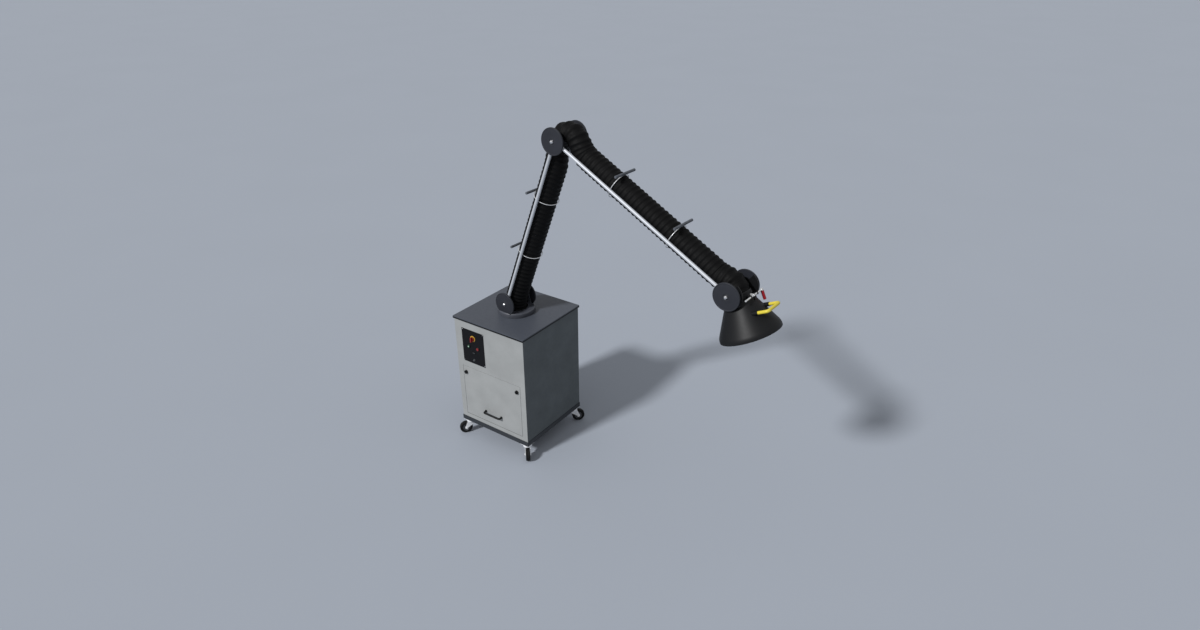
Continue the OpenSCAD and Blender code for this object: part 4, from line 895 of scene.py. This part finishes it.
@dataclass
class Controls:
    """The fittings of the control panel and the mains inlet at the rear."""

    panel_x: float = -0.154
    panel_z: float = 0.829
    panel_half_w: float = 0.1075
    panel_half_h: float = 0.140
    front_y: float = -0.3275
    rear_y: float = 0.3275
    panel_t: float = 0.0015
    switch_up: float = 0.074
    button_x: float = 0.044
    button_r: float = 0.01105
    button_out: float = 0.008
    meter_down: float = 0.046
    fuse_down: float = 0.108
    screw_in: float = 0.008
    inlet_x: float = -0.230
    inlet_z: float = 0.215
    edge: float = 0.0004

    def build(self) -> None:
        """Makes the fittings."""
        self.switch_plate()
        self.bezels()
        self.start_lamp()
        self.hour_meter()
        self.small_parts()
        self.mains_inlet()

    def front(self, x: float, z: float, out: float = 0.0) -> Matrix:
        """A frame at (x, z) from the panel's middle and out from its face, with Z out of it."""
        return Facing.FRONT.at(self.panel_x + x, self.front_y - self.panel_t - out, self.panel_z + z)

    def switch_plate(self) -> None:
        """Makes the main switch's yellow plate and the block behind it."""
        shape = Shape()
        place = self.front(0, self.switch_up)
        disc = [(0.0, 0.002), (0.0234, 0.002), (0.0238, 0.0018), (0.024, 0.0014)]
        disc += [(0.024, 0.0), (0.0, 0.0)]
        shape.revolve(disc, place, 96)
        plate = Piece("switch_plate", shape, Look.PLATE_YELLOW)
        plate.rides("cabinet", "yellow_paint", "electrical_fittings")
        shape = Shape()
        shape.plate(rounded(0.022, 0.022, 0.003), -0.034, -0.0016, place)
        shape.revolve([(0.0168, 0.0018), (0.0186, 0.0018), (0.0186, 0.0022), (0.0168, 0.0022)], place, 64)
        Piece("switch_block", shape, Look.BLACK_PLASTIC).rides("cabinet", "black_plastic")

    def bezels(self) -> None:
        """Makes the rings of the two push buttons."""
        shape = Shape()
        r = self.button_r
        ring = [(r, -0.026), (r, 0.0028), (r + 0.0012, 0.0039), (r + 0.0026, 0.004), (r + 0.0042, 0.0022)]
        ring += [(r + 0.0044, 0.0), (r + 0.002, 0.0), (r + 0.002, -0.026)]
        for side in (-1, 1):
            shape.revolve(ring, self.front(side * self.button_x, 0), 64)
        Piece("button_bezels", shape, Look.BLACK_PLASTIC).rides("cabinet", "black_plastic")

    def start_lamp(self) -> None:
        """Makes the small white lamp in the middle of the start button."""
        shape = Shape()
        cap = [(0.0, 0.0008), (0.0044, 0.0007), (0.005, 0.0), (0.0, 0.0)]
        shape.revolve(cap, self.front(-self.button_x, 0, self.button_out), 32)
        Piece("start_lamp", shape, Look.LAMP_WHITE).rides("start_plunger", "green_plastic")

    def hour_meter(self) -> None:
        """Makes the hour counter with its row of wheels."""
        shape = Shape()
        place = self.front(0, -self.meter_down)
        shape.plate(rounded(0.013, 0.0055, 0.001), 0, 0.003, place)
        meter = Piece("hour_meter", shape, Look.BLACK_PLASTIC)
        soften(meter.object, self.edge)
        meter.rides("cabinet", "black_plastic")
        shape = Shape()
        for i in range(6):
            x = -0.0105 + 0.0036 * i
            shape.box((x, -0.0028, 0.0029), (x + 0.003, 0.0028, 0.0031), place)
        Piece("hour_wheels", shape, Look.WHEEL_GREY).rides("cabinet", "black_plastic")

    def small_parts(self) -> None:
        """Makes the fuse holder and the panel's corner screws."""
        shape = Shape()
        place = self.front(0, -self.fuse_down)
        cap = [(0.0, 0.009), (0.0056, 0.009), (0.007, 0.0076), (0.007, 0.002), (0.0092, 0.002)]
        cap += [(0.0098, 0.0), (0.0, 0.0)]
        shape.revolve(cap, place, 40)
        shape.box((-0.0045, -0.0006, 0.0088), (0.0045, 0.0006, 0.0094), place)
        Piece("fuse_holder", shape, Look.WHEEL_GREY).rides("cabinet", "black_plastic")
        shape = Shape()
        head = [(0.0, 0.0011), (0.0012, 0.0011), (0.0014, 0.0018), (0.0024, 0.0016), (0.0034, 0.0007)]
        head += [(0.0036, 0.0), (0.0, 0.0)]
        across, up = self.panel_half_w - self.screw_in, self.panel_half_h - self.screw_in
        for x in (-across, across):
            for z in (-up, up):
                shape.revolve(head, self.front(x, z), 24)
        Piece("panel_screws", shape, Look.ZINC).rides("cabinet", "zinc")

    def mains_inlet(self) -> None:
        """Makes the mains inlet with its three pins."""
        place = Facing.REAR.at(self.inlet_x, self.rear_y, self.inlet_z) @ Matrix.Rotation(math.pi, 4, "Z")
        shape = Shape()
        rim = rounded(0.028, 0.022, 0.004)
        hole = rounded(0.014, 0.010, 0.003)
        n = len(rim)
        for outline, height in ((rim, -0.0004), (rim, 0.0025), (hole, 0.0025), (hole, -0.018)):
            shape.verts.extend(place @ Vector((x, y, height)) for x, y in outline)
        for row in range(3):
            shape.wall(row * n, (row + 1) * n, n)
        shape.faces.append(list(range(3 * n, 4 * n)))
        shape.faces.append(list(reversed(range(n))))
        Piece("mains_inlet", shape, Look.BLACK_PLASTIC).rides("cabinet", "black_plastic")
        shape = Shape()
        for x, y in ((-0.008, -0.001), (0.0, 0.003), (0.008, -0.001)):
            shape.box((x - 0.001, y - 0.002, -0.0181), (x + 0.001, y + 0.002, -0.004), place)
        screw = [(0.0, 0.0034), (0.0018, 0.0034), (0.0028, 0.0025), (0.0, 0.0025)]
        for x in (-0.021, 0.021):
            shape.revolve(screw, place @ Matrix.Translation((x, 0, 0)), 24)
        Piece("inlet_pins", shape, Look.POLISHED_STEEL).rides("cabinet", "zinc")


@dataclass
class FilterCassette:
    """The pleated cassette behind the door."""

    side: float = 0.500
    height: float = 0.240
    deck_z: float = 0.350
    wall: float = 0.003
    pleats: int = 24
    rim: float = 0.012
    sheet: float = 0.0015
    clear: float = 0.0005
    paper: float = 0.0016
    edge: float = 0.0005

    def build(self) -> None:
        """Makes the frame and its media."""
        half = self.side / 2
        inner = half - self.wall
        mouth = inner - self.rim
        low, high = self.deck_z, self.deck_z + self.height
        rings = [(half, low), (half, high), (mouth, high), (mouth, high - self.sheet)]
        rings += [(inner, high - self.sheet), (inner, low + self.sheet)]
        rings += [(mouth, low + self.sheet), (mouth, low)]
        shape = Shape()
        for reach, z in rings:
            for x, y in CORNERS:
                shape.verts.append(Vector((x * reach, y * reach, z)))
        for row in range(len(rings)):
            shape.wall(row * 4, (row + 1) % len(rings) * 4, 4)
        cassette = Piece("cassette_frame", shape, Look.ZINC)
        soften(cassette.object, self.edge)
        cassette.rides("cabinet", "zinc")
        self.media()

    def media(self) -> None:
        """Makes the pleated paper."""
        reach = self.side / 2 - self.wall - self.clear
        low, high = self.deck_z + self.rim, self.deck_z + self.height - self.rim
        step = 2 * reach / self.pleats
        n = 2 * self.pleats + 1
        shape = Shape()
        for y in (-reach, reach):
            for i in range(n):
                shape.verts.append(Vector((-reach + i * step / 2, y, high if i % 2 else low)))
        for i in range(n - 1):
            shape.faces.append([i, i + 1, n + i + 1, n + i])
        piece = Piece("filter_media", shape, Look.FILTER_MEDIA, 20)
        solid = piece.object.modifiers.new("thickness", "SOLIDIFY")
        solid.thickness = self.paper
        solid.offset = 0
        piece.rides("cabinet", "media", "filter_cassette")


@dataclass
class Cabinet:
    """The filter cabinet: plinth, panels, lid, door and what is inside."""

    edge: float = 0.0009
    lid_half: float = 0.3345
    lid_low: float = 1.030
    # Height and thickness of the black band of painted shade on the lid's rim
    shade_band_h: float = 0.011
    shade_band_t: float = 0.0006
    lid_edge: float = 0.0015
    fitting_edge: float = 0.0006
    plate_edge: float = 0.0004

    def build(self) -> None:
        """Dresses the cabinet."""
        dress(Look.PLINTH_PAINT, "base_plinth", edge=self.edge)
        dress(Look.SIDE_PAINT, "cabinet_wrap", edge=self.edge)
        dress(Look.FRONT_PAINT, "front_panel", "door_panel", edge=self.edge)
        dress(Look.DARK_PAINT, "top_lid", edge=self.lid_edge)
        dress(Look.PANEL_BLACK, "control_panel", edge=self.plate_edge)
        dress(Look.SIDE_PAINT, "outlet_grille", edge=self.plate_edge)
        dress(Look.ZINC, "fan_deck", "prefilter", "fan_housing", "fan_wheel")
        dress(Look.ZINC, "control_box", "swivel_flange", "cabinet_fasteners")
        dress(Look.FRAME_PAINT, "fan_motor")
        dress(Look.BLACK_PLASTIC, "door_handle")
        dress(Look.BLACK_PLASTIC, "latch_left", "latch_right", edge=self.fitting_edge)
        dress(Look.BUTTON_RED, "main_switch", edge=self.fitting_edge)
        dress(Look.BUTTON_GREEN, "start_button")
        dress(Look.BUTTON_RED, "stop_button")
        # The black band round the lid's rim is painted shade on the rim's edge
        self.lid_shade_band()
        FilterCassette().build()
        Controls().build()

    def lid_shade_band(self) -> None:
        """Makes a dark band round the lower half of the lid's rim: painted shade, standing in for the
        shadow on the lid's edge.
        """
        half, out = self.lid_half, self.lid_half + self.shade_band_t
        low, high = self.lid_low, self.lid_low + self.shade_band_h
        shape = Shape()
        for side in (-1, 1):
            near, far = sorted((side * half, side * out))
            shape.box((-out, near, low), (out, far, high), Facing.UP.value)
            shape.box((near, -half, low), (far, half, high), Facing.UP.value)
        # Painted shade: a black strip where the lid's rim lies in shadow
        Piece("lid_shade_band", shape, Look.BLACK_PLASTIC).rides("cabinet", "black_plastic")


@dataclass
class Casters:
    """The four casters; the front two have brake pedals."""

    reach: float = 0.2905
    trail: float = 0.042
    wheel_r: float = 0.050
    wheel_w: float = 0.032
    tyre_t: float = 0.020
    round_r: float = 0.007
    edge: float = 0.0006
    pedal_edge: float = 0.0008
    turns: tuple[float, ...] = (235.0, -49.0, 45.0, 35.0)
    corners: tuple[str, ...] = ("front_left", "front_right", "rear_right", "rear_left")

    def build(self) -> None:
        """Makes the wheels and dresses forks, plates and pedals."""
        dress(Look.CASTER_ZINC, "caster_plates", edge=self.edge)
        dress(Look.CASTER_ZINC, *[f"fork_{corner}" for corner in self.corners], edge=self.edge)
        dress(Look.PEDAL_RED, "pedal_left", "pedal_right", edge=self.pedal_edge)
        for corner, turn, (sx, sy) in zip(self.corners, self.turns, CORNERS):
            place = Matrix.Translation((sx * self.reach, sy * self.reach, 0))
            place = place @ Matrix.Rotation(math.radians(turn), 4, "Z")
            axle = place @ Matrix.Translation((self.trail, 0, self.wheel_r)) @ Facing.FRONT.value
            self.wheel(corner, axle)

    def wheel(self, corner: str, axle: Matrix) -> None:
        """Makes one wheel: a tyre with a fine parting line, and a hub with its web.

        Args:
            corner: The caster's corner.
            axle: The wheel's middle, with Z along its axle.
        """
        half, r, c = self.wheel_w / 2, self.wheel_r, self.round_r
        rim_r = r - self.tyre_t
        body = f"roller_{corner}"
        tyre = [(rim_r, -half + 0.002), (rim_r + 0.002, -half + 0.001)]
        tyre += arc(r - c, -half + c, c, range(-80, 1, 16)) + [(r, -0.0006)]
        tyre += [(r - 0.0004, 0.0)] + [(x, -z) for x, z in reversed(tyre)]
        shape = Shape()
        shape.revolve(tyre[::-1], axle, 96)
        piece = Piece(f"tyre_{corner}", shape, Look.TYRE_RUBBER, 40)
        piece.rides(body, "tyre_rubber", f"wheel_{corner}")
        hub = [(0.0051, -half), (0.011, -half), (0.012, -half + 0.001), (0.0135, -0.006), (0.016, -0.005)]
        hub += [(rim_r - 0.006, -0.005), (rim_r - 0.003, -0.007)]
        hub += [(rim_r - 0.002, -half + 0.0025), (rim_r - 0.0002, -half + 0.002)]
        hub += [(x, -z) for x, z in reversed(hub)]
        shape = Shape()
        shape.revolve(hub[::-1], axle, 64)
        Piece(f"hub_{corner}", shape, Look.HUB_GREY, 40).rides(body, "zinc")


@dataclass
class Arm:
    """Turntable, the two links, their joints and the hose."""

    edge: float = 0.0006

    def build(self) -> None:
        """Dresses the arm and makes its hose and covers."""
        dress(Look.RING_PLASTIC, "turntable_ring", edge=self.edge)
        dress(Look.POLISHED_STEEL, "shoulder_pivots", "elbow_pivots", "hood_pivots")
        dress(Look.TUBE_SILVER, "upper_tubes", "lower_tubes")
        dress(Look.FRAME_PAINT, "upper_lugs", "lower_lugs", edge=self.edge)
        dress(Look.WIRE_STEEL, "upper_hoops", "lower_hoops")
        dress(Look.BAR_RUBBER, "upper_crossbars", "lower_crossbars")
        JointCovers().build()
        Hose().build()


@dataclass
class Hood:
    """The cone hood with its neck, yellow handle and damper lever."""

    edge: float = 0.0006

    def build(self) -> None:
        """Dresses the hood."""
        dress(Look.FRAME_PAINT, "hood_yoke", edge=self.edge)
        dress(Look.HOOD_PLASTIC, "hood_neck", "hood_cone")
        dress(Look.SIGNAL_YELLOW, "hood_handle")
        dress(Look.WIRE_STEEL, "damper_lever")
        dress(Look.GRIP_RED, "damper_grip")


@dataclass
class Studio:
    """Floor, lights and camera, with its angles in degrees."""

    floor_colour: Colour = srgb(0.62, 0.645, 0.685)
    floor_drift: float = 0.985
    floor_reach: float = 400.0
    world_colour: Colour = srgb(0.9, 0.905, 0.915)
    world_strength: float = 0.55
    sun_strength: float = 2.9
    sun_width: float = 7.0
    sun_from: Point = (-0.193, -0.747, 0.636)
    camera_at: Point = (3.4118, -3.8351, 3.6704)
    azimuth: float = 34.68
    elevation: float = 27.60
    lens: float = 22.96
    sensor: float = 36.0
    sight: float = 1000.0

    def build(self) -> None:
        """Builds the studio."""
        self.floor()
        self.lights()
        self.camera()

    def floor(self) -> None:
        """Lays a plain floor."""
        shader = Shader("studio_floor")
        shader.tint(shader.noise(0.6, 2), self.floor_colour, self.floor_drift)
        shader.constant(Roughness=0.85, Specular_IOR_Level=0.2)
        square = [(x * self.floor_reach, y * self.floor_reach, 0) for x, y in CORNERS]
        mesh = bpy.data.meshes.new("floor")
        mesh.from_pydata(square, [], [(0, 1, 2, 3)])
        mesh.materials.append(shader.material)
        floor = bpy.data.objects.new("floor", mesh)
        bpy.context.scene.collection.objects.link(floor)

    def lights(self) -> None:
        """Sets an even sky and one broad, soft sun."""
        world = bpy.data.worlds.new("studio")
        world.use_nodes = True
        background = world.node_tree.nodes["Background"]
        background.inputs["Color"].default_value = (*self.world_colour, 1)
        background.inputs["Strength"].default_value = self.world_strength
        bpy.context.scene.world = world
        light = bpy.data.lights.new("key", "SUN")
        light.energy = self.sun_strength
        light.angle = math.radians(self.sun_width)
        sun = bpy.data.objects.new("key", light)
        sun.rotation_mode = "QUATERNION"
        sun.rotation_quaternion = Vector(self.sun_from).to_track_quat("Z", "Y")
        bpy.context.scene.collection.objects.link(sun)

    def camera(self) -> None:
        """Places the camera at the photograph's angle."""
        data = bpy.data.cameras.new("camera")
        data.lens = self.lens
        data.sensor_width = self.sensor
        data.clip_end = self.sight
        camera = bpy.data.objects.new("camera", data)
        a, e = math.radians(self.azimuth), math.radians(self.elevation)
        back = Vector((math.sin(a) * math.cos(e), -math.cos(a) * math.cos(e), math.sin(e)))
        camera.location = self.camera_at
        camera.rotation_mode = "QUATERNION"
        camera.rotation_quaternion = (-back).to_track_quat("-Z", "Y")
        bpy.context.scene.collection.objects.link(camera)
        bpy.context.scene.camera = camera
        bpy.context.scene.view_settings.view_transform = "Standard"


def corners(box: Sequence[Vector]) -> list[list[float]]:
    """A box's two corners as plain lists."""
    return [[round(float(c), 5) for c in corner] for corner in box]


def main() -> None:
    """Builds every sub-assembly in order."""
    logging.basicConfig(level=logging.INFO, format="%(message)s")
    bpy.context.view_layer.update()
    Studio().build()
    for assembly in (Cabinet(), Casters(), Arm(), Hood()):
        assembly.build()
        log.info("built %s", type(assembly).__name__)


if __name__ == "__main__":
    main()
